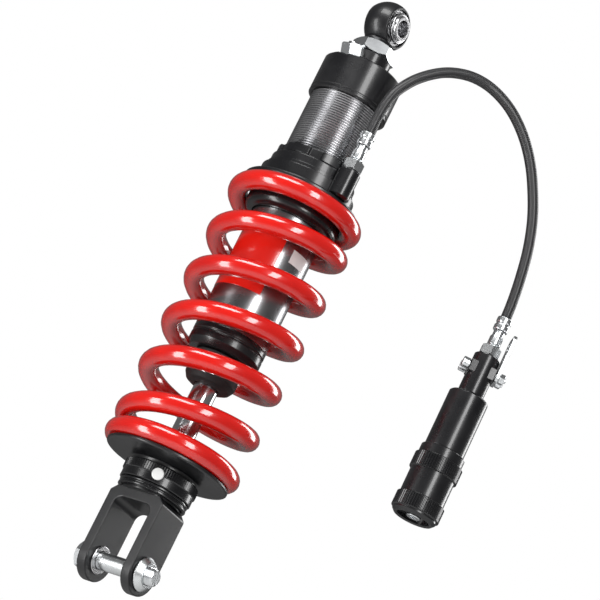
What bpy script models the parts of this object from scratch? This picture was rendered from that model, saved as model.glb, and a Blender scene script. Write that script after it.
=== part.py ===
"""Rear shock absorber with a coil spring, a clevis foot and a hydraulic preload adjuster on a hose.

Units are metres. The damper's axis is Z, with the centre of the upper eye at the origin and the
clevis below it. The bolts through the upper eye and through the clevis lie along X. Heights are
given below the eye's centre, so they are negative. Run it with blender --background --python.
"""
import math

import bmesh
import bpy
from mathutils import Matrix, Vector

# fits
GAP = 0.0003              # clearance between two pieces that touch or slide
SIDES = 24                # facets round a large turned piece
SMALL_SIDES = 14          # facets round a small one

# upper eye and its ball bearing
MOUNT_BORE_R = 0.0051
BUSH_STEM = 0.0007        # walls, outwards from the bore
BUSH_NOSE = 0.0022
BUSH_COLLAR = 0.0037
BALL_WALL = 0.0034
RACE_WALL = 0.002
EYE_WALL = 0.0039
EYE_HALF_WIDTH = 0.008
RACE_HALF_WIDTH = 0.0056
CLIP_THICKNESS = 0.0011
CLIP_DEPTH = 0.0012
BUSH_HALF_LENGTH = 0.011
SHANK_R = 0.008
SHANK_END = -0.0447
NUT_DROP = 0.0004         # from the eye's rim down to its lock nut
NUT_HEIGHT = 0.0077
NUT_FLATS = 0.024

# damper body
TUBE_R = 0.0215
TUBE_WALL = 0.0025
TUBE_TOP = -0.0475
TUBE_LENGTH = 0.163
HEAD_WALL = 0.0025
HEAD_TOP = -0.033
HEAD_END = -0.057
HEAD_NECK_R = 0.0123
VALVE_FLATS = 0.012
VALVE_HEIGHT = 0.0078
VALVE_SEAT = 0.0007         # above the head's shoulder, along the valve's own axis
VALVE_REACH = 0.0165
VALVE_TILT = 30
SEAL_HEAD_HEIGHT = 0.0125
SEAL_PLUG_LENGTH = 0.010
BUMP_R = 0.015
BUMP_LENGTH = 0.018

# rod, piston and floating piston
ROD_R = 0.007
ROD_STUB_R = 0.005
TOP_OUT_LENGTH = 0.006
SHIM_HEIGHT = 0.0015
PISTON_HEIGHT = 0.012
RING_HEIGHT = 0.004
RING_DEPTH = 0.0018
ROD_NUT_HEIGHT = 0.006
FLOATING_TOP = -0.098
FLOATING_HEIGHT = 0.012

# preload housing and upper spring seat
LOCK_RING_TOP = -0.0955
LOCK_RING_HEIGHT = 0.005
LOCK_RING_WALL = 0.003
LOCK_RING_NOTCHES = 6
HOUSING_HEIGHT = 0.0167
HOUSING_INNER_WALL = 0.0017
HOUSING_OUTER_WALL = 0.0018
OIL_GROOVE_WIDTH = 0.0035
OIL_GROOVE_DEPTH = 0.012
SEAT_SKIRT = 0.0098
SEAT_FLANGE_RIM = 0.0065    # beyond the spring's inner radius
SEAT_FLANGE_HEIGHT = 0.0025
SEAT_HUB_LENGTH = 0.0157
SEAT_BORE_PLAY = 0.0007
PORT_OFFSET = 0.0025       # from the housing's side out to the port's axis
PORT_ANGLE = -17
PORT_R = 0.0064
PORT_RISE = 0.0013
PORT_BORE_R = 0.0033

# spring
WIRE = 0.0115
SPRING_OVER_TUBE = 0.007    # from the tube's side to the spring's inner radius
SPRING_LENGTH = 0.1687
SPRING_PITCH = 0.0288
END_PITCH = 0.0034                                      # of the nearly flat coil at each end
EASING = 0.36                                           # turns, from an end coil to the open pitch
BOTTOM_COIL_GAP, TOP_COIL_GAP = 0.000536, 0.003838      # from an end of the wire to the next coil
SPRING_START = -161                                     # degrees, at the lower end
WIRE_SIDES = 8
STEPS_A_TURN = 18
GROUND_SHARE = 0.15                                     # of the wire, ground off each end

# lower spring seat, rebound adjuster and clevis
LOWER_SEAT_RIM = 0.0078     # beyond the spring's inner radius
LOWER_RIM = 0.002
LOWER_DISH = 0.002
LOWER_LIP = 0.005
LOWER_HUB_R = 0.019
LOWER_HUB_LENGTH = 0.0019
BOSS_TOP_RISE = 0.002
BOSS_R = 0.015
RING_SEAT_R = 0.0175
REBOUND_R = 0.0217
REBOUND_HEIGHT = 0.0105
BUTTON_R = 0.0034
BUTTON_THICKNESS = 0.0011
BUTTON_ANGLE = -59
RETAINER_R = 0.0202
RETAINER_HEIGHT = 0.0039
FORK_LENGTH = 0.0409      # from the clevis's top to its bolt
EAR_THICKNESS = 0.006
EAR_WIDTH = 0.025
CLEVIS_GAP = 0.025
BRIDGE = 0.0064
CROTCH_R = 0.005
CLEVIS_BOLT_R = 0.005
BUSH_WALL = 0.0014
BUSH_FLANGE = 0.0008
BOLT_HEAD_RIM = 0.0025
BOLT_HEAD_LENGTH = 0.006
FLANGE_NUT_RIM = 0.0045
FLANGE_NUT_LENGTH = 0.004
BOLT_TIP = 0.0045

# hose and its end fittings
HOSE_R = 0.0031
UNION_FLATS = 0.011
UNION_HEX = 0.006
UNION_STEM_R = 0.0038
UNION_STEM = 0.0103
UNION_SPIGOT_R = 0.003
UNION_SPIGOT = 0.005
FERRULE_WALL = 0.0013
FERRULE = 0.0082

# preload adjuster that hangs on the hose
ADJUSTER_REACH = 0.1333
ADJUSTER_ANGLE = 37
ADJUSTER_TOP = -0.1533
NECK_R = 0.0076
NECK_LENGTH = 0.0252
LUG_HALF = 0.0079
LUG_HALF_DEPTH = 0.0065
LUG_TOP, LUG_END = -0.1590, -0.1665
BARREL_R = 0.01165
BARREL_BORE_R = 0.009
BARREL_LENGTH = 0.0352
BARREL_CROWN = 0.0027
OIL_WAY_R = 0.0013
PLUNGER_HEIGHT = 0.008
PLUNGER_START = -0.2035
SCREW_R = 0.003
SCREW_TOP = -0.184
KNOB_LENGTH = 0.0417
KNOB_R = 0.0142
KNOB_WAIST_R = 0.013
KNOB_BANDS = ((0.0055, 0.0150), (0.0300, 0.0392))      # knurled bands, below the knob's top
KNOB_RECESS_R = 0.0095
KNOB_RECESS = 0.0025
END_SCREW_R = 0.0042
BRACKET_THICKNESS = 0.002
BRACKET_TOP = -0.1362
BRACKET_HALF_DEPTH = 0.0076
BRACKET_HOLE_R = 0.003
BRACKET_BOLT_R = 0.0016
BRACKET_BOLT_HEAD_R = 0.0032
BRACKET_BOLT_HEAD = 0.004
BRACKET_NUT_FLATS = 0.0055
BRACKET_NUT = 0.003
BRACKET_BOLTS = (("front", -0.0042, -0.1628), ("rear", 0.0042, -0.1628))

# The hose's own line in its upright plane: how far along from one end fitting to the other, and height.
HOSE_ROUTE = (
    (0.0000, -0.0738), (0.0001, -0.0630), (0.0011, -0.0520), (0.0037, -0.0426), (0.0111, -0.0303),
    (0.0225, -0.0192), (0.0350, -0.0130), (0.0469, -0.0113), (0.0588, -0.0133), (0.0705, -0.0186),
    (0.0822, -0.0278), (0.0924, -0.0399), (0.1010, -0.0545), (0.1076, -0.0692), (0.1124, -0.0855),
    (0.1153, -0.1019), (0.1170, -0.1167), (0.1176, -0.1279),
)
HOSE_POINTS = 26

# sizes and places that follow from the ones above
BUSH_STEM_R = MOUNT_BORE_R + BUSH_STEM
BALL_R = MOUNT_BORE_R + BALL_WALL
BALL_HALF_WIDTH = math.sqrt(BALL_R**2 - BUSH_STEM_R**2)
RACE_R = BALL_R + RACE_WALL
EYE_R = RACE_R + EYE_WALL
NUT_TOP = -EYE_R - NUT_DROP
NUT_END = NUT_TOP - NUT_HEIGHT
TUBE_BORE_R = TUBE_R - TUBE_WALL
TUBE_END = TUBE_TOP - TUBE_LENGTH
HEAD_R = TUBE_R + HEAD_WALL
LOCK_RING_R = TUBE_R + LOCK_RING_WALL
OIL_GROOVE_R = TUBE_R + HOUSING_INNER_WALL
HOUSING_R = OIL_GROOVE_R + OIL_GROOVE_WIDTH + HOUSING_OUTER_WALL
PORT_REACH = HOUSING_R + PORT_OFFSET
SPRING_INNER_R = TUBE_R + SPRING_OVER_TUBE
EASED_PITCH = (END_PITCH + SPRING_PITCH) / 2
END_COIL_RISE = EASING * EASED_PITCH + (1 - EASING) * SPRING_PITCH
BOTTOM_FLAT = (END_COIL_RISE - WIRE - BOTTOM_COIL_GAP) / (SPRING_PITCH - END_PITCH)
TOP_FLAT = (END_COIL_RISE - WIRE - TOP_COIL_GAP) / (SPRING_PITCH - END_PITCH)
SEAT_FLANGE_R = SPRING_INNER_R + SEAT_FLANGE_RIM
LOWER_SEAT_R = SPRING_INNER_R + LOWER_SEAT_RIM
SEAL_TOP = TUBE_END + SEAL_PLUG_LENGTH
SEAL_END = TUBE_END - SEAL_HEAD_HEIGHT
STUB_START = SEAL_TOP + GAP + TOP_OUT_LENGTH + GAP
HOUSING_TOP = LOCK_RING_TOP - LOCK_RING_HEIGHT - GAP
HOUSING_END = HOUSING_TOP - HOUSING_HEIGHT
FLANGE_TOP = HOUSING_END - GAP
FLANGE_END = FLANGE_TOP - SEAT_FLANGE_HEIGHT
SPRING_TOP = FLANGE_END - GAP
SPRING_END = SPRING_TOP - SPRING_LENGTH
SPRING_MEAN_R = SPRING_INNER_R + WIRE / 2
LOWER_SEAT_TOP = SPRING_END - GAP
HUB_TOP = LOWER_SEAT_TOP - LOWER_RIM - LOWER_DISH
HUB_END = HUB_TOP - LOWER_HUB_LENGTH
SHOULDER = HUB_END - GAP
RING_TOP = SHOULDER - GAP
RING_END = RING_TOP - REBOUND_HEIGHT
RETAINER_TOP = RING_END - GAP
RETAINER_END = RETAINER_TOP - RETAINER_HEIGHT
CLEVIS_TOP = RETAINER_END - GAP
CROTCH = CLEVIS_TOP - BRIDGE
CLEVIS_AXIS = CLEVIS_TOP - FORK_LENGTH
EAR_INNER = CLEVIS_GAP / 2
EAR_OUTER = EAR_INNER + EAR_THICKNESS
ROD_END = CLEVIS_TOP + 0.007
BOLT_HEAD_FLATS = 2 * (CLEVIS_BOLT_R + BOLT_HEAD_RIM)
FLANGE_NUT_R = CLEVIS_BOLT_R + FLANGE_NUT_RIM
FERRULE_R = HOSE_R + FERRULE_WALL
UNION_TOP = HOUSING_TOP + PORT_RISE + GAP
BARREL_TOP = ADJUSTER_TOP - NECK_LENGTH - GAP
BARREL_END = BARREL_TOP - BARREL_LENGTH
KNOB_TOP = BARREL_END - GAP
KNOB_END = KNOB_TOP - KNOB_LENGTH
KNOB_FLOOR = KNOB_END + KNOB_RECESS

BLACK_ANODISED = ((0.012, 0.012, 0.014), 0.32, 0.75)
BLACK_PAINT = ((0.014, 0.014, 0.015), 0.45, 0.1)
BLACK_RUBBER = ((0.02, 0.02, 0.021), 0.75, 0.0)
ZINC = ((0.72, 0.74, 0.76), 0.28, 1.0)
STEEL = ((0.55, 0.56, 0.58), 0.3, 1.0)
CHROME = ((0.78, 0.78, 0.80), 0.08, 1.0)
GREY_THREAD = ((0.30, 0.30, 0.31), 0.4, 0.9)
BRASS = ((0.62, 0.45, 0.18), 0.35, 1.0)
RED_PAINT = ((0.62, 0.012, 0.008), 0.18, 0.0)
WHITE_PLASTIC = ((0.85, 0.85, 0.84), 0.4, 0.0)


def clear_scene():
    for obj in list(bpy.data.objects):
        bpy.data.objects.remove(obj)


def coat(obj, finish):
    """Gives a piece its own material: colour, roughness and metallic value."""
    colour, roughness, metallic = finish
    material = bpy.data.materials.new(obj.name)
    material.use_nodes = True
    shader = material.node_tree.nodes["Principled BSDF"]
    shader.inputs["Base Color"].default_value = (*colour, 1)
    shader.inputs["Roughness"].default_value = roughness
    shader.inputs["Metallic"].default_value = metallic
    obj.data.materials.append(material)


def object_from(bm, name, finish=None, frame=None, smooth=True):
    """Makes an object of a bmesh; frame is the empty that it is placed under."""
    bmesh.ops.remove_doubles(bm, verts=bm.verts, dist=1e-7)
    bmesh.ops.recalc_face_normals(bm, faces=bm.faces)
    mesh = bpy.data.meshes.new(name)
    bm.to_mesh(mesh)
    bm.free()
    obj = bpy.data.objects.new(name, mesh)
    bpy.context.scene.collection.objects.link(obj)
    obj.parent = frame
    if smooth:
        mesh.shade_smooth()
        mesh.set_sharp_from_angle(angle=math.radians(35))
    if finish:
        coat(obj, finish)
    return obj


def along_x(sign=1):
    """Turns a piece made along Z to lie along X."""
    return Matrix.Rotation(math.radians(90 * sign), 4, "Y")


def turned(name, outline, finish=None, sides=SIDES, turn=None, frame=None):
    """Spins (radius, height) points round Z. An outline that leaves the axis is a closed ring."""
    bm = bmesh.new()
    verts = [bm.verts.new((radius, 0, height)) for radius, height in outline]
    edges = [bm.edges.new(pair) for pair in zip(verts, verts[1:])]
    if outline[0][0] > 0:
        edges.append(bm.edges.new((verts[-1], verts[0])))
    bmesh.ops.spin(bm, geom=verts + edges, cent=(0, 0, 0), axis=(0, 0, 1), angle=math.tau, steps=sides)
    bmesh.ops.remove_doubles(bm, verts=bm.verts, dist=1e-6)
    if turn:
        bm.transform(turn)
    return object_from(bm, name, finish, frame)


def sleeve(name, inner, outer, low, high, finish=None, sides=SIDES, turn=None, frame=None):
    outline = [(inner, high), (outer, high), (outer, low), (inner, low)]
    return turned(name, outline, finish, sides, turn, frame)


def rod(name, radius, low, high, finish=None, sides=SMALL_SIDES, turn=None, frame=None):
    outline = [(0, high), (radius, high), (radius, low), (0, low)]
    return turned(name, outline, finish, sides, turn, frame)


def hexagon(name, flats, low, high, finish=None, turn=None, frame=None, angle=0):
    """A six-sided prism; flats is the distance across them and angle turns a corner towards it."""
    bm = bmesh.new()
    radius = flats / 2 / math.cos(math.radians(30))
    lift = Matrix.Translation((0, 0, (low + high) / 2)) @ Matrix.Rotation(math.radians(angle), 4, "Z")
    bmesh.ops.create_cone(
        bm, cap_ends=True, segments=6, radius1=radius, radius2=radius, depth=high - low, matrix=lift
    )
    if turn:
        bm.transform(turn)
    return object_from(bm, name, finish, frame, smooth=False)


def block(name, low, high, finish=None, frame=None):
    bm = bmesh.new()
    size = [b - a for a, b in zip(low, high)]
    middle = [(a + b) / 2 for a, b in zip(low, high)]
    place = Matrix.Translation(middle) @ Matrix.Diagonal((*size, 1))
    bmesh.ops.create_cube(bm, size=1, matrix=place)
    return object_from(bm, name, finish, frame, smooth=False)


def prism(name, outline, half_depth, plane, finish=None, frame=None):
    """Extrudes an outline both ways from its plane, XZ or YZ."""
    bm = bmesh.new()
    if plane == "XZ":
        points = [(a, -half_depth, b) for a, b in outline]
        move = (0, 2 * half_depth, 0)
    else:
        points = [(-half_depth, a, b) for a, b in outline]
        move = (2 * half_depth, 0, 0)
    face = bm.faces.new([bm.verts.new(p) for p in points])
    grown = bmesh.ops.extrude_face_region(bm, geom=[face])
    bmesh.ops.translate(bm, vec=move, verts=[v for v in grown["geom"] if isinstance(v, bmesh.types.BMVert)])
    return object_from(bm, name, finish, frame)


def arc(centre, radius, start, end, steps):
    """Points of an arc, in degrees."""
    angles = [math.radians(start + (end - start) * k / steps) for k in range(steps + 1)]
    return [(centre[0] + radius * math.cos(a), centre[1] + radius * math.sin(a)) for a in angles]


def shape_with(target, tool, operation):
    """Cuts, joins or keeps what is common, with a tool that isn't itself a piece."""
    tool.hide_render = True
    tool.display_type = "WIRE"
    modifier = target.modifiers.new(tool.name, "BOOLEAN")
    modifier.operation = operation
    modifier.object = tool
    return target


def cut(target, tool):
    return shape_with(target, tool, "DIFFERENCE")


def unite(target, tool):
    return shape_with(target, tool, "UNION")


def upper_eye():
    """The eye and its threaded shank, the lock nut on it, and the ball bearing with its two bushes."""
    seat_r = RACE_R + GAP
    spread = math.degrees(math.asin(EYE_HALF_WIDTH / EYE_R))
    outside = arc((0, 0), EYE_R, spread, -spread, 8)
    outline = [(seat_r, EYE_HALF_WIDTH)] + outside + [(seat_r, -EYE_HALF_WIDTH)]
    eye = turned("top_eye", outline, BLACK_PAINT, turn=along_x())
    unite(eye, rod("eye_shank", SHANK_R, SHANK_END, -(seat_r + GAP), sides=SIDES))

    nut = hexagon("eye_lock_nut", NUT_FLATS, NUT_END, NUT_TOP, ZINC, angle=ADJUSTER_ANGLE - 90)
    cut(nut, rod("nut_bore", SHANK_R + GAP, NUT_END - GAP, NUT_TOP + GAP, sides=SIDES))

    hollow = BALL_R + GAP
    lip = math.degrees(math.asin(RACE_HALF_WIDTH / hollow))
    inside = [(r, x) for r, x in arc((0, 0), hollow, -lip, lip, 6)]
    race = [(RACE_R, RACE_HALF_WIDTH), (RACE_R, -RACE_HALF_WIDTH)]
    turned("bearing_race", inside + race, STEEL, turn=along_x())

    rim = math.degrees(math.asin(BALL_HALF_WIDTH / BALL_R))
    outside = arc((0, 0), BALL_R, -rim, rim, 6)
    bore = [(MOUNT_BORE_R, BALL_HALF_WIDTH), (MOUNT_BORE_R, -BALL_HALF_WIDTH)]
    turned("eye_ball", outside + bore, CHROME, turn=along_x())

    clip_start = RACE_HALF_WIDTH + GAP
    clip_inner = RACE_R - CLIP_DEPTH
    bush_start = BALL_HALF_WIDTH + GAP
    collar, nose = MOUNT_BORE_R + BUSH_COLLAR, MOUNT_BORE_R + BUSH_NOSE
    flange_start = EYE_HALF_WIDTH - GAP
    flange_end = flange_start + 0.0016
    for side, sign in (("left", -1), ("right", 1)):
        turn = along_x(sign)
        clip_end = clip_start + CLIP_THICKNESS
        sleeve(f"eye_circlip_{side}", clip_inner, RACE_R, clip_start, clip_end, STEEL, turn=turn)
        bush = [
            (MOUNT_BORE_R, bush_start), (BUSH_STEM_R, bush_start), (BUSH_STEM_R, flange_start),
            (collar, flange_start), (collar, flange_end), (nose, flange_end + 0.0003),
            (nose, BUSH_HALF_LENGTH - 0.0004), (nose - 0.0004, BUSH_HALF_LENGTH),
            (MOUNT_BORE_R, BUSH_HALF_LENGTH),
        ]
        turned(f"eye_bush_{side}", bush, STEEL, turn=turn)


def damper_head():
    """The head screwed over the tube, with a hole for the eye's shank and a tilted charging valve."""
    recess_r = TUBE_R + GAP
    recess_top = TUBE_TOP + GAP
    hole_end = SHANK_END - GAP
    neck_top = NUT_END - GAP
    outline = [
        (0, hole_end), (SHANK_R + GAP, hole_end), (SHANK_R + GAP, neck_top), (HEAD_NECK_R - 0.0006, neck_top),
        (HEAD_NECK_R, neck_top - 0.0006), (HEAD_NECK_R, HEAD_TOP), (HEAD_R - 0.0012, HEAD_TOP),
        (HEAD_R, HEAD_TOP - 0.0012), (HEAD_R, HEAD_END + 0.0010), (HEAD_R - 0.0010, HEAD_END),
        (recess_r, HEAD_END), (recess_r, recess_top), (0, recess_top),
    ]
    head = turned("head_cap", outline, BLACK_ANODISED)

    tilt = Matrix.Translation((0, -VALVE_REACH, HEAD_TOP)) @ Matrix.Rotation(math.radians(VALVE_TILT), 4, "X")
    stem_depth = 0.007
    cut(head, rod("valve_spotface", VALVE_FLATS / 2 + 0.0016, VALVE_SEAT, 0.02, turn=tilt))
    cut(head, rod("valve_hole", 0.0035 + GAP, -stem_depth - GAP, 0.004, turn=tilt))
    seat = VALVE_SEAT + GAP
    valve = hexagon("valve_cap", VALVE_FLATS, seat, seat + VALVE_HEIGHT, ZINC, turn=tilt, angle=20)
    unite(valve, rod("valve_stem", 0.0035, -stem_depth, seat + 0.001, turn=tilt))

    sleeve("body_tube", TUBE_BORE_R, TUBE_R, TUBE_END, TUBE_TOP, GREY_THREAD)


def seal_head():
    """The rod's guide that closes the tube's lower end, its lip seal and the bump stop under it."""
    rod_way = ROD_R + GAP
    plug_r = TUBE_BORE_R - GAP
    seal_pocket_r = ROD_R + 0.0038
    pocket_end = SEAL_END + 0.005
    rim = TUBE_END - GAP
    outline = [
        (rod_way, SEAL_TOP), (plug_r, SEAL_TOP), (plug_r, rim), (TUBE_R, rim), (TUBE_R, SEAL_END + 0.004),
        (TUBE_R - 0.0008, SEAL_END + 0.0035), (TUBE_R - 0.0008, SEAL_END + 0.0015),
        (TUBE_R - 0.0025, SEAL_END),
        (seal_pocket_r, SEAL_END), (seal_pocket_r, pocket_end), (rod_way, pocket_end),
    ]
    turned("seal_head", outline, BLACK_ANODISED)
    lip_low, lip_high = SEAL_END + 0.0004, pocket_end - GAP
    sleeve("rod_seal", rod_way, seal_pocket_r - GAP, lip_low, lip_high, BLACK_RUBBER, SMALL_SIDES)
    top = SEAL_END - GAP
    end = top - BUMP_LENGTH
    outline = [
        (rod_way, top), (BUMP_R, top), (BUMP_R, end + 0.0045), (BUMP_R - 0.002, end + 0.0012),
        (BUMP_R - 0.0045, end), (rod_way, end),
    ]
    turned("bump_stop", outline, BLACK_RUBBER)


def ringed_piston(name, ring_name, low, height, bore, finish):
    """A piston with a groove round its middle, and the band that runs in the groove."""
    radius = TUBE_BORE_R - GAP
    floor = radius - RING_DEPTH
    middle = low + height / 2
    groove_low, groove_high = middle - RING_HEIGHT / 2 - GAP, middle + RING_HEIGHT / 2 + GAP
    outline = [
        (radius, low + height), (radius, groove_high), (floor - GAP, groove_high), (floor - GAP, groove_low),
        (radius, groove_low), (radius, low),
    ]
    if bore:
        outline = [(bore, low + height)] + outline + [(bore, low)]
    else:
        outline = [(0, low + height)] + outline + [(0, low)]
    turned(name, outline, finish)
    ring_low, ring_high = groove_low + GAP, groove_high - GAP
    sleeve(ring_name, floor, TUBE_BORE_R - GAP, ring_low, ring_high, BLACK_RUBBER)


def rod_and_piston():
    """The rod, from the clevis up through the seal head, with the piston stack on its stub."""
    stack = STUB_START
    stub_way = ROD_STUB_R + GAP
    bottom = stack - GAP
    sleeve("top_out_bumper", ROD_R + GAP, 0.0120, bottom - TOP_OUT_LENGTH, bottom, BLACK_RUBBER, SMALL_SIDES)
    levels = {}
    for name, height in (("rebound_shims", SHIM_HEIGHT), ("piston", PISTON_HEIGHT),
                         ("compression_shims", SHIM_HEIGHT), ("rod_nut", ROD_NUT_HEIGHT)):
        levels[name] = stack + GAP
        stack = levels[name] + height
    low = levels["rebound_shims"]
    outline = [
        (stub_way, low + SHIM_HEIGHT), (0.0145, low + SHIM_HEIGHT), (0.0125, low + SHIM_HEIGHT / 2),
        (0.0095, low), (stub_way, low),
    ]
    turned("rebound_shims", outline, STEEL, SMALL_SIDES)
    low = levels["compression_shims"]
    outline = [
        (stub_way, low + SHIM_HEIGHT), (0.0095, low + SHIM_HEIGHT), (0.0125, low + SHIM_HEIGHT / 2),
        (0.0145, low), (stub_way, low),
    ]
    turned("compression_shims", outline, STEEL, SMALL_SIDES)
    ringed_piston("piston", "piston_band", levels["piston"], PISTON_HEIGHT, stub_way, BRASS)
    low = levels["rod_nut"]
    nut = hexagon("rod_nut", 0.014, low, low + ROD_NUT_HEIGHT, STEEL)
    cut(nut, rod("rod_nut_bore", stub_way, low - GAP, low + ROD_NUT_HEIGHT + GAP))
    top = stack + 0.002
    outline = [
        (0, top), (ROD_STUB_R, top), (ROD_STUB_R, STUB_START), (ROD_R, STUB_START), (ROD_R, ROD_END),
        (0, ROD_END),
    ]
    turned("piston_rod", outline, CHROME, SMALL_SIDES)
    ringed_piston(
        "floating_piston", "floating_piston_ring", FLOATING_TOP - FLOATING_HEIGHT, FLOATING_HEIGHT, 0,
        STEEL,
    )


def preload_housing():
    """The ring cylinder on the tube, its notched lock ring, and the spring seat whose skirt is its piston."""
    bore = TUBE_R + GAP
    low, high = LOCK_RING_TOP - LOCK_RING_HEIGHT, LOCK_RING_TOP
    ring = sleeve("preload_lock_ring", bore, LOCK_RING_R, low, high, BLACK_ANODISED)
    for k in range(LOCK_RING_NOTCHES):
        angle = math.tau * k / LOCK_RING_NOTCHES
        notch = block(
            f"lock_ring_notch_{k}", (LOCK_RING_R - 0.0014, -0.002, low - GAP),
            (LOCK_RING_R + 0.002, 0.002, high + GAP),
        )
        notch.rotation_euler.z = angle
        cut(ring, notch)

    groove_outer = OIL_GROOVE_R + OIL_GROOVE_WIDTH
    groove_top = HOUSING_END + OIL_GROOVE_DEPTH
    step = HOUSING_TOP - 0.0045
    outline = [
        (bore, HOUSING_TOP), (HOUSING_R - 0.0025, HOUSING_TOP), (HOUSING_R - 0.0018, HOUSING_TOP - 0.0007),
        (HOUSING_R - 0.0018, step), (HOUSING_R, step - 0.0008), (HOUSING_R, HOUSING_END), (bore, HOUSING_END),
    ]
    housing = turned("preload_housing", outline, BLACK_ANODISED)
    at = Matrix.Rotation(math.radians(PORT_ANGLE), 4, "Z") @ Matrix.Translation((PORT_REACH, 0, 0))
    boss_end = HOUSING_END + 0.0008
    unite(housing, rod("port_boss", PORT_R, boss_end, HOUSING_TOP + PORT_RISE, turn=at))
    cut(housing, sleeve("oil_groove", OIL_GROOVE_R, groove_outer, HOUSING_END - GAP, groove_top))
    bore_end = UNION_TOP - GAP - UNION_SPIGOT - 0.001
    cut(housing, rod("port_bore", PORT_BORE_R, bore_end, UNION_TOP + GAP, turn=at))
    inward = Matrix.Rotation(math.radians(PORT_ANGLE), 4, "Z") @ Matrix.Translation((0, 0, bore_end + 0.0014))
    cut(
        housing,
        rod("port_oil_way", 0.001, groove_outer - 0.001, PORT_REACH, sides=12, turn=inward @ along_x()),
    )

    bore = TUBE_R + SEAT_BORE_PLAY
    skirt_inner, skirt_outer = OIL_GROOVE_R + GAP, groove_outer - GAP
    skirt_top = FLANGE_TOP + SEAT_SKIRT
    hub_r = SPRING_INNER_R - SEAT_BORE_PLAY
    hub_end = FLANGE_END - SEAT_HUB_LENGTH
    outline = [
        (bore, FLANGE_TOP), (skirt_inner, FLANGE_TOP), (skirt_inner, skirt_top), (skirt_outer, skirt_top),
        (skirt_outer, FLANGE_TOP), (SEAT_FLANGE_R - 0.0008, FLANGE_TOP), (SEAT_FLANGE_R, FLANGE_TOP - 0.0008),
        (SEAT_FLANGE_R, FLANGE_END), (hub_r, FLANGE_END), (hub_r, hub_end + 0.0045),
        (hub_r - 0.0015, hub_end + 0.001),
        (hub_r - 0.0035, hub_end), (bore, hub_end),
    ]
    turned("upper_spring_seat", outline, BLACK_ANODISED)


def spring_line(steps_a_turn):
    """The wire's centre line: nearly flat end coils that ease into the open pitch."""
    ends = (BOTTOM_FLAT + TOP_FLAT) * END_PITCH + 2 * EASING * EASED_PITCH
    rise = SPRING_LENGTH - WIRE * (1 - 2 * GROUND_SHARE)
    turns = BOTTOM_FLAT + TOP_FLAT + 2 * EASING + (rise - ends) / SPRING_PITCH
    steps = round(turns * steps_a_turn)
    height = SPRING_END + WIRE * (0.5 - GROUND_SHARE)
    points = []
    for k in range(steps + 1):
        turn = turns * k / steps
        angle = math.radians(SPRING_START) + math.tau * turn
        points.append(Vector((SPRING_MEAN_R * math.cos(angle), SPRING_MEAN_R * math.sin(angle), height)))
        from_end = min((turn - BOTTOM_FLAT) / EASING, (turns - turn - TOP_FLAT) / EASING)
        share = min(max(from_end, 0), 1)
        height += turns / steps * (END_PITCH + (SPRING_PITCH - END_PITCH) * share)
    return points


def spring():
    """A round wire swept along its line, with both ends ground flat."""
    line = spring_line(STEPS_A_TURN)
    bm = bmesh.new()
    rings = []
    for k, point in enumerate(line):
        ahead = (line[min(k + 1, len(line) - 1)] - line[max(k - 1, 0)]).normalized()
        outward = Vector((point.x, point.y, 0)).normalized()
        upward = outward.cross(ahead)
        ring = []
        for j in range(WIRE_SIDES):
            angle = math.tau * (j + 0.5) / WIRE_SIDES
            ring.append(
                bm.verts.new(point + WIRE / 2 * (outward * math.cos(angle) + upward * math.sin(angle)))
            )
        rings.append(ring)
    for first, second in zip(rings, rings[1:]):
        for j in range(WIRE_SIDES):
            bm.faces.new((first[j], first[j - 1], second[j - 1], second[j]))
    bm.faces.new(rings[0])
    bm.faces.new(rings[-1][::-1])
    coil = object_from(bm, "spring", RED_PAINT)
    wide = SPRING_MEAN_R + WIRE
    cut(coil, block("spring_ground_top", (-wide, -wide, SPRING_TOP), (wide, wide, SPRING_TOP + WIRE)))
    cut(coil, block("spring_ground_bottom", (-wide, -wide, SPRING_END - WIRE), (wide, wide, SPRING_END)))


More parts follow.
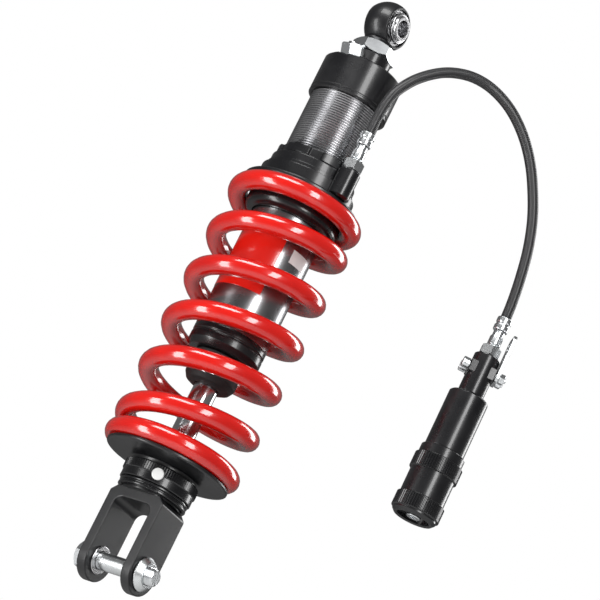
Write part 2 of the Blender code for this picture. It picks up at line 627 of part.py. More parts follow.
def lower_seat_and_adjuster():
    """The lower spring seat, the rebound ring with its index button, and the ring that keeps it."""
    bore = BOSS_R + GAP
    lip_r = SPRING_INNER_R - SEAT_BORE_PLAY
    lip_top = LOWER_SEAT_TOP + LOWER_LIP
    rim_end = LOWER_SEAT_TOP - LOWER_RIM
    outline = [
        (bore, lip_top), (lip_r - 0.002, lip_top), (lip_r, lip_top - 0.002), (lip_r, LOWER_SEAT_TOP),
        (LOWER_SEAT_R - 0.0006, LOWER_SEAT_TOP), (LOWER_SEAT_R, LOWER_SEAT_TOP - 0.0006),
        (LOWER_SEAT_R, rim_end),
        (LOWER_HUB_R + 0.001, HUB_TOP), (LOWER_HUB_R, HUB_TOP - 0.001), (LOWER_HUB_R, HUB_END),
        (bore, HUB_END),
    ]
    turned("lower_spring_seat", outline, BLACK_PAINT)

    way = RING_SEAT_R + GAP
    band = RING_TOP - 0.0064
    outline = [
        (way, RING_TOP), (REBOUND_R - 0.0006, RING_TOP), (REBOUND_R, RING_TOP - 0.0006), (REBOUND_R, band),
        (REBOUND_R - 0.0006, band - 0.0004), (REBOUND_R - 0.0006, RING_END), (way, RING_END),
    ]
    ring = turned("rebound_ring", outline, BLACK_ANODISED)
    level = (RING_TOP + RING_END) / 2 - 0.0002
    face = REBOUND_R - 0.0013
    around = Matrix.Rotation(math.radians(BUTTON_ANGLE), 4, "Z")
    radial = around @ Matrix.Translation((0, 0, level)) @ along_x()
    cut(ring, rod("button_pocket", BUTTON_R + GAP, face, REBOUND_R + 0.003, turn=radial))
    rod("index_button", BUTTON_R, face + GAP, face + GAP + BUTTON_THICKNESS, WHITE_PLASTIC, turn=radial)

    step = (RETAINER_TOP + RETAINER_END) / 2
    outline = [
        (way, RETAINER_TOP), (RETAINER_R, RETAINER_TOP), (RETAINER_R, step + 0.0004),
        (RETAINER_R - 0.0009, step),
        (RETAINER_R, step - 0.0004), (RETAINER_R, RETAINER_END), (way, RETAINER_END),
    ]
    turned("retaining_ring", outline, BLACK_ANODISED)


def clevis():
    """The fork, with a boss that carries the spring seat and rings, and with a bush in each ear."""
    end = CLEVIS_AXIS
    ear_r = EAR_WIDTH / 2
    low = end - ear_r
    inner = EAR_INNER - CROTCH_R
    corner = CROTCH - CROTCH_R
    crotch = arc((inner, corner), CROTCH_R, 0, 90, 4) + arc((-inner, corner), CROTCH_R, 90, 180, 4)
    shoulder = 0.004
    front = (
        [(EAR_OUTER, low), (EAR_OUTER, CLEVIS_TOP - shoulder), (EAR_OUTER - shoulder, CLEVIS_TOP)]
        + [(-EAR_OUTER + shoulder, CLEVIS_TOP), (-EAR_OUTER, CLEVIS_TOP - shoulder), (-EAR_OUTER, low)]
        + [(-EAR_INNER, low)] + crotch[::-1] + [(EAR_INNER, low)]
    )
    fork = prism("clevis", front, ear_r + GAP, "XZ", BLACK_PAINT)
    side = arc((0, end), ear_r, 180, 360, 12) + [(ear_r, CLEVIS_TOP + GAP), (-ear_r, CLEVIS_TOP + GAP)]
    shape_with(fork, prism("clevis_side", side, EAR_OUTER + GAP, "YZ"), "INTERSECT")

    top = LOWER_SEAT_TOP + BOSS_TOP_RISE
    hole = ROD_R + GAP
    overlap = CLEVIS_TOP - 0.002
    outline = [
        (0, ROD_END - GAP), (hole, ROD_END - GAP), (hole, top), (BOSS_R, top), (BOSS_R, SHOULDER),
        (RING_SEAT_R, SHOULDER), (RING_SEAT_R, CLEVIS_TOP), (ear_r - GAP, CLEVIS_TOP),
        (ear_r - GAP, overlap), (0, overlap),
    ]
    unite(fork, turned("clevis_boss", outline))
    bush_r = CLEVIS_BOLT_R + GAP + BUSH_WALL
    cut(fork, rod("clevis_bore", bush_r + GAP, -0.03, 0.03, turn=Matrix.Translation((0, 0, end)) @ along_x()))

    for side_name, sign in (("left", -1), ("right", 1)):
        turn = Matrix.Translation((0, 0, end)) @ along_x(sign)
        face = EAR_INNER - GAP
        outline = [
            (CLEVIS_BOLT_R + GAP, face - BUSH_FLANGE), (bush_r + 0.0012, face - BUSH_FLANGE),
            (bush_r + 0.0012, face),
            (bush_r, face), (bush_r, EAR_OUTER - GAP), (CLEVIS_BOLT_R + GAP, EAR_OUTER - GAP),
        ]
        turned(f"clevis_bush_{side_name}", outline, STEEL, SMALL_SIDES, turn)


def clevis_bolt():
    """The bolt through the fork, its head to the left, and the coned flange nut on its right."""
    turn = Matrix.Translation((0, 0, CLEVIS_AXIS)) @ along_x()
    face = EAR_OUTER + GAP
    head_end = -face - BOLT_HEAD_LENGTH
    bolt = hexagon("clevis_bolt", BOLT_HEAD_FLATS, head_end, -face, ZINC, turn=turn)
    tip = face + FLANGE_NUT_LENGTH + BOLT_TIP
    outline = [
        (0, tip), (CLEVIS_BOLT_R - 0.001, tip), (CLEVIS_BOLT_R, tip - 0.001),
        (CLEVIS_BOLT_R, -face - 0.001), (0, -face - 0.001),
    ]
    unite(bolt, turned("clevis_bolt_shaft", outline, sides=SMALL_SIDES, turn=turn))
    outline = [
        (CLEVIS_BOLT_R + GAP, face), (FLANGE_NUT_R, face), (FLANGE_NUT_R, face + 0.0008),
        (CLEVIS_BOLT_R + 0.0016, face + FLANGE_NUT_LENGTH), (CLEVIS_BOLT_R + GAP, face + FLANGE_NUT_LENGTH),
    ]
    turned("clevis_flange_nut", outline, ZINC, turn=turn)


def hose_end(place, seat, sign, end_name, frame=None):
    """A hexagon union screwed into a port at height seat, and the crimped ferrule beyond it."""
    heights = [seat, seat + sign * UNION_HEX, seat + sign * (UNION_HEX + UNION_STEM)]
    low, high = sorted(heights[:2])
    union = hexagon(f"hose_union_{end_name}", UNION_FLATS, low, high, ZINC, turn=place, frame=frame)
    outline = [
        (0, heights[2]), (UNION_STEM_R - 0.0006, heights[2]),
        (UNION_STEM_R - 0.0006, heights[2] - sign * 0.003),
        (UNION_STEM_R, heights[2] - sign * 0.0042), (UNION_STEM_R, heights[1] - sign * 0.001),
        (UNION_SPIGOT_R, heights[1] - sign * 0.001), (UNION_SPIGOT_R, seat - sign * UNION_SPIGOT),
        (0, seat - sign * UNION_SPIGOT),
    ]
    unite(union, turned(f"union_stem_{end_name}", outline, sides=SMALL_SIDES, turn=place, frame=frame))
    start = heights[2] + sign * GAP
    end = start + sign * FERRULE
    waist = start + sign * FERRULE / 2
    outline = [
        (0, start), (FERRULE_R - 0.0004, start), (FERRULE_R, start + sign * 0.0005),
        (FERRULE_R, waist - sign * 0.0008),
        (FERRULE_R - 0.0005, waist), (FERRULE_R, waist + sign * 0.0008), (FERRULE_R, end - sign * 0.0005),
        (FERRULE_R - 0.0004, end), (0, end),
    ]
    turned(f"hose_ferrule_{end_name}", outline, ZINC, SMALL_SIDES, place, frame)


def on_curve(points, share):
    """A point on the smooth line through points, at a share of the way along it."""
    along = share * (len(points) - 1)
    k = min(int(along), len(points) - 2)
    t = along - k
    before, first, second, after = points[max(k - 1, 0)], points[k], points[k + 1], points[
        min(k + 2, len(points) - 1)
    ]
    slope = (second - before) / 2
    bend = before - 2.5 * first + 2 * second - 0.5 * after
    twist = (3 * first - before - 3 * second + after) / 2
    return first + slope * t + bend * t**2 + twist * t**3


def hose():
    """The hose, in the upright plane through its two ferrules."""
    near = Vector((math.cos(math.radians(PORT_ANGLE)), math.sin(math.radians(PORT_ANGLE)), 0)) * PORT_REACH
    angle = math.radians(ADJUSTER_ANGLE)
    far = Vector((math.cos(angle), math.sin(angle), 0)) * ADJUSTER_REACH
    reach = HOSE_ROUTE[-1][0]
    route = [near + (far - near) * (run / reach) + Vector((0, 0, height)) for run, height in HOSE_ROUTE]
    curve = bpy.data.curves.new("hose", "CURVE")
    curve.dimensions = "3D"
    curve.bevel_depth = HOSE_R
    curve.bevel_resolution = 2
    curve.use_fill_caps = True
    spline = curve.splines.new("POLY")
    spline.points.add(HOSE_POINTS - 1)
    for k, point in enumerate(spline.points):
        point.co = (*on_curve(route, k / (HOSE_POINTS - 1)), 1)
    obj = bpy.data.objects.new("hose", curve)
    bpy.context.scene.collection.objects.link(obj)
    coat(obj, BLACK_RUBBER)


def preload_adjuster():
    """The hand adjuster: neck, barrel, plunger and screw inside, knob, and the bracket bolted to its neck."""
    frame = bpy.data.objects.new("adjuster_frame", None)
    bpy.context.scene.collection.objects.link(frame)
    angle = math.radians(ADJUSTER_ANGLE)
    frame.location = (ADJUSTER_REACH * math.cos(angle), ADJUSTER_REACH * math.sin(angle), 0)
    frame.rotation_euler.z = angle

    neck_end = ADJUSTER_TOP - NECK_LENGTH
    spigot_end = ADJUSTER_TOP - UNION_SPIGOT - 0.001
    outline = [
        (PORT_BORE_R, ADJUSTER_TOP), (NECK_R, ADJUSTER_TOP), (NECK_R, neck_end), (OIL_WAY_R, neck_end),
        (OIL_WAY_R, spigot_end), (PORT_BORE_R, spigot_end),
    ]
    neck = turned("adjuster_neck", outline, BLACK_ANODISED, SMALL_SIDES, frame=frame)
    lug = block(
        "neck_lug", (-LUG_HALF, -LUG_HALF_DEPTH, LUG_END), (LUG_HALF, LUG_HALF_DEPTH, LUG_TOP),
        frame=frame,
    )
    cut(lug, rod("lug_way", NECK_R - 0.001, LUG_END - GAP, LUG_TOP + GAP, frame=frame))
    unite(neck, lug)

    outline = [
        (OIL_WAY_R, BARREL_TOP), (BARREL_R - 0.0006, BARREL_TOP), (BARREL_R, BARREL_TOP - 0.0006),
        (BARREL_R, BARREL_END),
        (BARREL_BORE_R, BARREL_END), (BARREL_BORE_R, BARREL_TOP - BARREL_CROWN),
        (OIL_WAY_R, BARREL_TOP - BARREL_CROWN),
    ]
    turned("adjuster_barrel", outline, BLACK_ANODISED, frame=frame)
    low = PLUNGER_START - PLUNGER_HEIGHT
    sleeve(
        "adjuster_plunger", SCREW_R + GAP, BARREL_BORE_R - GAP, low, PLUNGER_START, BRASS, SMALL_SIDES,
        frame=frame,
    )
    screw_end = KNOB_FLOOR + 0.010
    rod("adjuster_screw", SCREW_R, screw_end, SCREW_TOP, STEEL, frame=frame)

    outline = [
        (SCREW_R + GAP, KNOB_TOP), (KNOB_WAIST_R - 0.0005, KNOB_TOP), (KNOB_WAIST_R, KNOB_TOP - 0.0005),
    ]
    for start, end in KNOB_BANDS:
        high, low = KNOB_TOP - start, KNOB_TOP - end
        outline += [
            (KNOB_WAIST_R, high), (KNOB_R, high - 0.0005), (KNOB_R, low + 0.0005), (KNOB_WAIST_R, low),
        ]
    hole_r, hole_top = 0.002 + GAP, KNOB_FLOOR + 0.007
    outline += [
        (KNOB_WAIST_R - 0.0015, KNOB_END), (KNOB_RECESS_R, KNOB_END), (KNOB_RECESS_R, KNOB_FLOOR),
        (hole_r, KNOB_FLOOR),
        (hole_r, hole_top), (0, hole_top),
    ]
    outline = [(0, screw_end - GAP), (SCREW_R + GAP, screw_end - GAP)] + outline
    turned("adjuster_knob", outline, BLACK_ANODISED, frame=frame)
    head_top = KNOB_FLOOR - GAP
    outline = [
        (0, hole_top - GAP), (0.002, hole_top - GAP), (0.002, head_top), (END_SCREW_R, head_top),
        (END_SCREW_R, head_top - 0.0016), (0, head_top - 0.0016),
    ]
    turned("knob_end_screw", outline, ZINC, SMALL_SIDES, frame=frame)

    inner = LUG_HALF + GAP
    outer = inner + BRACKET_THICKNESS
    low_corner, high_corner = (inner, -BRACKET_HALF_DEPTH, LUG_END), (outer, BRACKET_HALF_DEPTH, BRACKET_TOP)
    plate = block("adjuster_bracket", low_corner, high_corner, ZINC, frame)
    turn = Matrix.Translation((0, 0, BRACKET_TOP - 0.0065)) @ along_x()
    cut(plate, rod("bracket_hole", BRACKET_HOLE_R, inner - GAP, outer + GAP, turn=turn, frame=frame))
    for name, depth, level in BRACKET_BOLTS:
        turn = Matrix.Translation((0, depth, level)) @ along_x()
        way = rod(f"bolt_way_{name}", BRACKET_BOLT_R + GAP, -0.02, 0.02, turn=turn, frame=frame)
        cut(neck, way)
        cut(plate, way)
        head = -LUG_HALF - GAP
        tip = outer + GAP + BRACKET_NUT + 0.001
        outline = [
            (0, tip), (BRACKET_BOLT_R, tip), (BRACKET_BOLT_R, head), (BRACKET_BOLT_HEAD_R, head),
            (BRACKET_BOLT_HEAD_R, head - BRACKET_BOLT_HEAD), (0, head - BRACKET_BOLT_HEAD),
        ]
        turned(f"bracket_bolt_{name}", outline, ZINC, SMALL_SIDES, turn, frame)
        nut = hexagon(
            f"bracket_nut_{name}", BRACKET_NUT_FLATS, outer + GAP, outer + GAP + BRACKET_NUT, ZINC,
            turn=turn, frame=frame,
        )
        cut(nut, way)


def main():
    clear_scene()
    upper_eye()
    damper_head()
    seal_head()
    rod_and_piston()
    preload_housing()
    spring()
    lower_seat_and_adjuster()
    clevis()
    clevis_bolt()
    port = Matrix.Rotation(math.radians(PORT_ANGLE), 4, "Z") @ Matrix.Translation((PORT_REACH, 0, 0))
    hose_end(port, UNION_TOP, 1, "shock")
    angle = math.radians(ADJUSTER_ANGLE)
    reach = Matrix.Translation((ADJUSTER_REACH * math.cos(angle), ADJUSTER_REACH * math.sin(angle), 0))
    hose_end(reach, ADJUSTER_TOP + GAP, 1, "adjuster")
    hose()
    preload_adjuster()


main()
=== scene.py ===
import math

import bmesh
import bpy
from mathutils import Matrix, Vector


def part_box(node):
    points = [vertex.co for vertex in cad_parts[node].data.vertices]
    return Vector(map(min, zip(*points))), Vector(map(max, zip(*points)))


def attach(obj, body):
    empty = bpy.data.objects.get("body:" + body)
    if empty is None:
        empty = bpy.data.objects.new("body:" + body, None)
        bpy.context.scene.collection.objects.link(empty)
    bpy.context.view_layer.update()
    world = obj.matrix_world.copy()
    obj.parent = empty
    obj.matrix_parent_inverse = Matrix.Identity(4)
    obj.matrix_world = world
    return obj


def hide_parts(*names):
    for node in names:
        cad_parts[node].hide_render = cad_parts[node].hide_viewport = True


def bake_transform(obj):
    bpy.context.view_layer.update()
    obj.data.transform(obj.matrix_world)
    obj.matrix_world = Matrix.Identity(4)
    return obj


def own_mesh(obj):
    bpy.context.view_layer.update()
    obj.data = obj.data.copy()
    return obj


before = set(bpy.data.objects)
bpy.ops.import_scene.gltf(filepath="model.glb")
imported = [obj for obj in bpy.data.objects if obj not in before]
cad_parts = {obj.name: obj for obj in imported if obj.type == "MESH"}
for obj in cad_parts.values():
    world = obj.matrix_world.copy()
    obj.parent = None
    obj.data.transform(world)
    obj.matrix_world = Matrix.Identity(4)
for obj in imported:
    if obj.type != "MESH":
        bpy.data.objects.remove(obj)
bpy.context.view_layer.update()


# places, read from the frame

def topOf(node):
    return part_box(node)[1].z


def bottomOf(node):
    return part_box(node)[0].z


gap = 0.0003
adjusterAngle = math.radians(37)
adjusterReach = 0.1333
portAngle = math.radians(-17)
portReach = 0.031
adjusterPlace = Matrix.Rotation(adjusterAngle, 4, "Z") @ Matrix.Translation((adjusterReach, 0, 0))
portPlace = Matrix.Rotation(portAngle, 4, "Z") @ Matrix.Translation((portReach, 0, 0))


def lyingAlongX(sign=1):
    return Matrix.Rotation(math.radians(90 * sign), 4, "Y")


# camera

camera = {
    "target": (0.0198, 0.0149, -0.1718),
    "azimuth": 37.0,
    "elevation": -17.5,
    "lean": 26.3,        # how far the damper leans to the right in the picture
    "distance": 1.5,
    "width": 0.335,      # metres across the picture, at the target
}


def addCamera(c):
    azimuth, elevation = math.radians(c["azimuth"]), math.radians(c["elevation"])
    right = Vector((math.cos(azimuth), math.sin(azimuth), 0))
    level = Vector((math.sin(azimuth), -math.cos(azimuth), 0))
    back = level * math.cos(elevation) + Vector((0, 0, math.sin(elevation)))
    up = back.cross(right)
    tilt = math.radians(c["lean"])
    across = right * math.cos(tilt) + up * math.sin(tilt)
    upward = up * math.cos(tilt) - right * math.sin(tilt)
    data = bpy.data.cameras.new("camera")
    data.sensor_width = 36
    data.lens = 36 * c["distance"] / c["width"]
    data.clip_end = 20
    obj = bpy.data.objects.new("camera", data)
    bpy.context.scene.collection.objects.link(obj)
    turn = Matrix((across, upward, back)).transposed().to_4x4()
    obj.matrix_world = Matrix.Translation(Vector(c["target"]) + back * c["distance"]) @ turn
    bpy.context.scene.camera = obj
    return across, upward, back


across, upward, back = addCamera(camera)


# finishes

def socketIn(group, kind, name, value):
    socket = group.interface.new_socket(name, in_out="INPUT", socket_type=kind)
    socket.default_value = value


def buildWearGroup():
    group = bpy.data.node_groups.new("surfaceWear", "ShaderNodeTree")
    socketIn(group, "NodeSocketColor", "Clean", (0.5, 0.5, 0.5, 1))
    socketIn(group, "NodeSocketColor", "Worn", (0.4, 0.4, 0.4, 1))
    socketIn(group, "NodeSocketFloat", "Low Gloss", 0.3)
    socketIn(group, "NodeSocketFloat", "High Gloss", 0.4)
    socketIn(group, "NodeSocketFloat", "Patch Size", 60)
    socketIn(group, "NodeSocketFloat", "Grain Size", 1500)
    socketIn(group, "NodeSocketFloat", "Grain Depth", 0.1)
    for kind, name in (
        ("NodeSocketColor", "Colour"), ("NodeSocketFloat", "Roughness"), ("NodeSocketVector", "Normal"),
    ):
        group.interface.new_socket(name, in_out="OUTPUT", socket_type=kind)
    nodes, links = group.nodes, group.links
    given = nodes.new("NodeGroupInput")
    result = nodes.new("NodeGroupOutput")
    place = nodes.new("ShaderNodeTexCoord")
    patches = nodes.new("ShaderNodeTexNoise")
    patches.inputs["Detail"].default_value = 5
    grain = nodes.new("ShaderNodeTexNoise")
    grain.inputs["Detail"].default_value = 2
    for noise, size in ((patches, "Patch Size"), (grain, "Grain Size")):
        links.new(place.outputs["Object"], noise.inputs["Vector"])
        links.new(given.outputs[size], noise.inputs["Scale"])
    spread = nodes.new("ShaderNodeMapRange")
    spread.inputs["From Min"].default_value = 0.38
    spread.inputs["From Max"].default_value = 0.66
    links.new(patches.outputs["Fac"], spread.inputs["Value"])
    colour = nodes.new("ShaderNodeMix")
    colour.data_type = "RGBA"
    links.new(spread.outputs["Result"], colour.inputs["Factor"])
    links.new(given.outputs["Clean"], colour.inputs[6])
    links.new(given.outputs["Worn"], colour.inputs[7])
    links.new(colour.outputs[2], result.inputs["Colour"])
    gloss = nodes.new("ShaderNodeMapRange")
    links.new(patches.outputs["Fac"], gloss.inputs["Value"])
    links.new(given.outputs["Low Gloss"], gloss.inputs["To Min"])
    links.new(given.outputs["High Gloss"], gloss.inputs["To Max"])
    links.new(gloss.outputs["Result"], result.inputs["Roughness"])
    bump = nodes.new("ShaderNodeBump")
    bump.inputs["Distance"].default_value = 0.0002
    links.new(grain.outputs["Fac"], bump.inputs["Height"])
    links.new(given.outputs["Grain Depth"], bump.inputs["Strength"])
    links.new(bump.outputs["Normal"], result.inputs["Normal"])
    return group


wearGroup = buildWearGroup()

finishes = {
    "blackAnodised": dict(clean=(0.005, 0.005, 0.006), worn=(0.010, 0.010, 0.011), low=0.22, high=0.34,
                          grain=1800, depth=0.05, metallic=0.0, coat=0.25, slot="black_anodised"),
    "blackPaint": dict(clean=(0.005, 0.005, 0.006), worn=(0.009, 0.009, 0.010), low=0.30, high=0.42,
                       grain=1300, depth=0.22, metallic=0.0, coat=0.2, slot="black_paint"),
    "tubeMetal": dict(clean=(0.42, 0.42, 0.43), worn=(0.30, 0.30, 0.31), low=0.20, high=0.32, grain=2400,
                      depth=0.02, metallic=1.0, coat=0.0, slot="tube"),
    "zinc": dict(clean=(0.80, 0.82, 0.84), worn=(0.66, 0.68, 0.68), low=0.18, high=0.34, grain=2200,
                 depth=0.02, metallic=1.0, coat=0.0, slot="zinc"),
    "steel": dict(clean=(0.62, 0.62, 0.63), worn=(0.50, 0.50, 0.51), low=0.20, high=0.30, grain=2600,
                  depth=0.015, metallic=1.0, coat=0.0, slot="steel"),
    "chrome": dict(clean=(0.80, 0.80, 0.82), worn=(0.72, 0.72, 0.74), low=0.12, high=0.20, grain=2600,
                   depth=0.005, metallic=1.0, coat=0.0, slot="chrome"),
    "brass": dict(clean=(0.62, 0.45, 0.18), worn=(0.50, 0.36, 0.15), low=0.25, high=0.4, grain=2400,
                  depth=0.1, metallic=1.0, coat=0.0, slot="brass"),
    "machinedAlloy": dict(clean=(0.6, 0.6, 0.62), worn=(0.5, 0.5, 0.52), low=0.25, high=0.4, grain=2400,
                          depth=0.1, metallic=1.0, coat=0.0, slot="floating_metal"),
    "rubber": dict(clean=(0.012, 0.012, 0.013), worn=(0.022, 0.022, 0.022), low=0.5, high=0.7, grain=1400,
                   depth=0.3, metallic=0.0, coat=0.0, slot="rubber"),
    "redPowderCoat": dict(clean=(0.62, 0.008, 0.004), worn=(0.54, 0.006, 0.004), low=0.16, high=0.24,
                          grain=620, depth=0.16, metallic=0.0, coat=1.0, slot="spring_red"),
    "redSticker": dict(clean=(0.72, 0.014, 0.007), worn=(0.64, 0.011, 0.006), low=0.2, high=0.3, grain=900,
                       depth=0.03, metallic=0.0, coat=0.6, slot="spring_red"),
    "plainWhite": dict(clean=(0.80, 0.80, 0.79), worn=(0.72, 0.72, 0.71), low=0.3, high=0.45, grain=1500,
                       depth=0.05, metallic=0.0, coat=0.3, slot="white_plastic"),
    "hoseBraid": dict(clean=(0.014, 0.014, 0.015), worn=(0.03, 0.03, 0.031), low=0.3, high=0.5, grain=2400,
                      depth=0.1, metallic=0.0, coat=0.2, slot="hose_cover"),
}


def buildFinish(name, f):
    material = bpy.data.materials.new(name)
    material.use_nodes = True
    nodes, links = material.node_tree.nodes, material.node_tree.links
    shader = nodes["Principled BSDF"]
    wear = nodes.new("ShaderNodeGroup")
    wear.node_tree = wearGroup
    wear.inputs["Clean"].default_value = (*f["clean"], 1)
    wear.inputs["Worn"].default_value = (*f["worn"], 1)
    wear.inputs["Low Gloss"].default_value = f["low"]
    wear.inputs["High Gloss"].default_value = f["high"]
    wear.inputs["Grain Size"].default_value = f["grain"]
    wear.inputs["Grain Depth"].default_value = f["depth"]
    links.new(wear.outputs["Colour"], shader.inputs["Base Color"])
    links.new(wear.outputs["Roughness"], shader.inputs["Roughness"])
    links.new(wear.outputs["Normal"], shader.inputs["Normal"])
    shader.inputs["Metallic"].default_value = f["metallic"]
    shader.inputs["Coat Weight"].default_value = f["coat"]
    shader.inputs["Coat Roughness"].default_value = 0.08
    return material


paint = {name: buildFinish(name, f) for name, f in finishes.items()}
print("finishes made:", len(paint))


# modelling helpers

def deselectAll():
    if bpy.context.mode != "OBJECT":
        bpy.ops.object.mode_set(mode="OBJECT")
    bpy.ops.object.select_all(action="DESELECT")


def onlySelect(piece):
    deselectAll()
    piece.select_set(True)
    bpy.context.view_layer.objects.active = piece


def applyModifier(piece, kind, **settings):
    onlySelect(piece)
    modifier = piece.modifiers.new(kind.lower(), kind)
    for key, value in settings.items():
        setattr(modifier, key, value)
    bpy.ops.object.modifier_apply(modifier=modifier.name)


def finishPiece(piece, finish, body, nodes=(), bevel=0.0, segments=2, place=None, smooth=35):
    if bevel:
        applyModifier(piece, "BEVEL", width=bevel, segments=segments, limit_method="ANGLE",
                      angle_limit=math.radians(28), use_clamp_overlap=True)
    if place is not None:
        piece.matrix_world = place
    onlySelect(piece)
    bpy.ops.object.transform_apply(location=True, rotation=True, scale=True)
    bpy.ops.object.shade_smooth_by_angle(angle=math.radians(smooth))
    applyModifier(piece, "WEIGHTED_NORMAL", keep_sharp=True)
    piece.data.materials.clear()
    piece.data.materials.append(paint[finish])
    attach(piece, body)
    if nodes:
        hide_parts(*nodes)
    return piece


def latheShape(name, outline, steps=96, sweep=360.0):
    # one vertex is extruded along the outline of (radius, height) points, then spun round Z
    deselectAll()
    bpy.ops.mesh.primitive_plane_add(size=0.002)
    piece = bpy.context.object
    piece.name = name
    piece.data.name = name
    bpy.ops.object.mode_set(mode="EDIT")
    bpy.ops.mesh.select_mode(type="VERT")
    bpy.ops.mesh.select_all(action="SELECT")
    bpy.ops.mesh.merge(type="CENTER")
    bpy.ops.transform.translate(value=(outline[0][0], 0, outline[0][1]))
    for (radius, height), (nextRadius, nextHeight) in zip(outline, outline[1:]):
        step = (nextRadius - radius, 0, nextHeight - height)
        bpy.ops.mesh.extrude_region_move(TRANSFORM_OT_translate={"value": step})
    isRing = outline[0][0] > 1e-6 and sweep == 360.0
    if isRing:
        mesh = bmesh.from_edit_mesh(piece.data)
        for vert in mesh.verts:
            vert.select = len(vert.link_edges) == 1
        mesh.select_flush_mode()
        bmesh.update_edit_mesh(piece.data)
        bpy.ops.mesh.edge_face_add()
    bpy.ops.mesh.select_all(action="SELECT")
    bpy.ops.mesh.spin(steps=steps, angle=math.radians(sweep), center=(0, 0, 0), axis=(0, 0, 1))
    bpy.ops.mesh.select_all(action="SELECT")
    bpy.ops.mesh.remove_doubles(threshold=1e-6)
    bpy.ops.mesh.select_all(action="SELECT")
    bpy.ops.mesh.normals_make_consistent(inside=False)
    bpy.ops.object.mode_set(mode="OBJECT")
    return piece


def pullIn(piece, factor, wanted):
    # scales towards the axis the vertices that a test picks
    onlySelect(piece)
    bpy.ops.object.mode_set(mode="EDIT")
    bpy.ops.mesh.select_mode(type="VERT")
    bpy.ops.mesh.select_all(action="DESELECT")
    mesh = bmesh.from_edit_mesh(piece.data)
    for vert in mesh.verts:
        vert.select = wanted(vert.co)
    mesh.select_flush_mode()
    bmesh.update_edit_mesh(piece.data)
    bpy.ops.transform.resize(value=(factor, factor, 1), center_override=(0, 0, 0))
    bpy.ops.object.mode_set(mode="OBJECT")


def boxShape(name, low, high):
    deselectAll()
    middle = [(a + b) / 2 for a, b in zip(low, high)]
    bpy.ops.mesh.primitive_cube_add(size=1, location=middle)
    piece = bpy.context.object
    piece.name = name
    piece.scale = [b - a for a, b in zip(low, high)]
    bpy.ops.object.transform_apply(location=True, rotation=True, scale=True)
    return piece


def hexShape(name, flats, low, high, turn=0.0, chamfer=0.0008):
    # a hexagon whose corners are turned off at its ends, as on a real nut
    deselectAll()
    corner = flats / 2 / math.cos(math.radians(30))
    middle = (0, 0, (low + high) / 2)
    bpy.ops.mesh.primitive_cylinder_add(vertices=6, radius=corner, depth=high - low, location=middle,
                                        rotation=(0, 0, math.radians(turn)))
    piece = bpy.context.object
    piece.name = name
    bpy.ops.object.transform_apply(location=True, rotation=True, scale=True)
    face = flats / 2 * 0.97
    past = corner * 1.02
    outline = [(0, high + gap), (face, high), (past, high - chamfer), (past, low + chamfer), (face, low),
               (0, low - gap)]
    turned = latheShape(name + "Chamfer", outline, steps=64)
    applyModifier(piece, "BOOLEAN", operation="INTERSECT", object=turned, solver="EXACT")
    bpy.data.objects.remove(turned)
    return piece


def cutHole(piece, radius, start, end, place):
    tool = latheShape("hole", [(0, end), (radius, end), (radius, start), (0, start)], steps=40)
    tool.matrix_world = place
    applyModifier(piece, "BOOLEAN", operation="DIFFERENCE", object=tool, solver="EXACT")
    bpy.data.objects.remove(tool)


def arcPoints(centre, radius, start, end, count):
    angles = [math.radians(start + (end - start) * k / count) for k in range(count + 1)]
    return [(centre[0] + radius * math.cos(a), centre[1] + radius * math.sin(a)) for a in angles]


# hose: its route is the one that the frame's solid follows

hose = {
    "diameter": 0.0062,
    "route": [
        (0.0000, -0.0738), (0.0001, -0.0630), (0.0011, -0.0520), (0.0037, -0.0426), (0.0111, -0.0303),
        (0.0225, -0.0192), (0.0350, -0.0130), (0.0469, -0.0113), (0.0588, -0.0133), (0.0705, -0.0186),
        (0.0822, -0.0278), (0.0924, -0.0399), (0.1010, -0.0545), (0.1076, -0.0692), (0.1124, -0.0855),
        (0.1153, -0.1019), (0.1170, -0.1167), (0.1176, -0.1279),
    ],
    "points": 120,
}


def smoothPoint(points, share):
    along = share * (len(points) - 1)
    k = min(int(along), len(points) - 2)
    t = along - k
    before, first = points[max(k - 1, 0)], points[k]
    second, after = points[k + 1], points[min(k + 2, len(points) - 1)]
    slope = (second - before) / 2
    bend = before - 2.5 * first + 2 * second - 0.5 * after
    twist = (3 * first - before - 3 * second + after) / 2
    return first + slope * t + bend * t**2 + twist * t**3


def hoseLine(h):
    near = portPlace.translation
    far = adjusterPlace.translation
    reach = h["route"][-1][0]
    route = [near + (far - near) * (run / reach) + Vector((0, 0, height)) for run, height in h["route"]]
    return [smoothPoint(route, k / (h["points"] - 1)) for k in range(h["points"])]


def tubeShape(name, line, radius, resolution=6):
    # a curve along the line, filled out to a tube and made a mesh, which keeps its lengthways UV map
    deselectAll()
    bpy.ops.curve.primitive_nurbs_path_add()
    obj = bpy.context.object
    obj.name = name
    curve = obj.data
    curve.splines.clear()
    spline = curve.splines.new("POLY")
    spline.points.add(len(line) - 1)
    for point, spot in zip(spline.points, line):
        point.co = (*spot, 1)
    curve.dimensions = "3D"
    curve.twist_mode = "MINIMUM"
    curve.bevel_depth = radius
    curve.bevel_resolution = resolution
    curve.use_fill_caps = True
    onlySelect(obj)
    bpy.ops.object.convert(target="MESH")
    piece = bpy.context.object
    bpy.ops.object.mode_set(mode="EDIT")
    bpy.ops.mesh.select_all(action="SELECT")
    bpy.ops.mesh.remove_doubles(threshold=1e-6)
    bpy.ops.object.mode_set(mode="OBJECT")
    return piece


def lengthOf(line):
    return sum((b - a).length for a, b in zip(line, line[1:]))


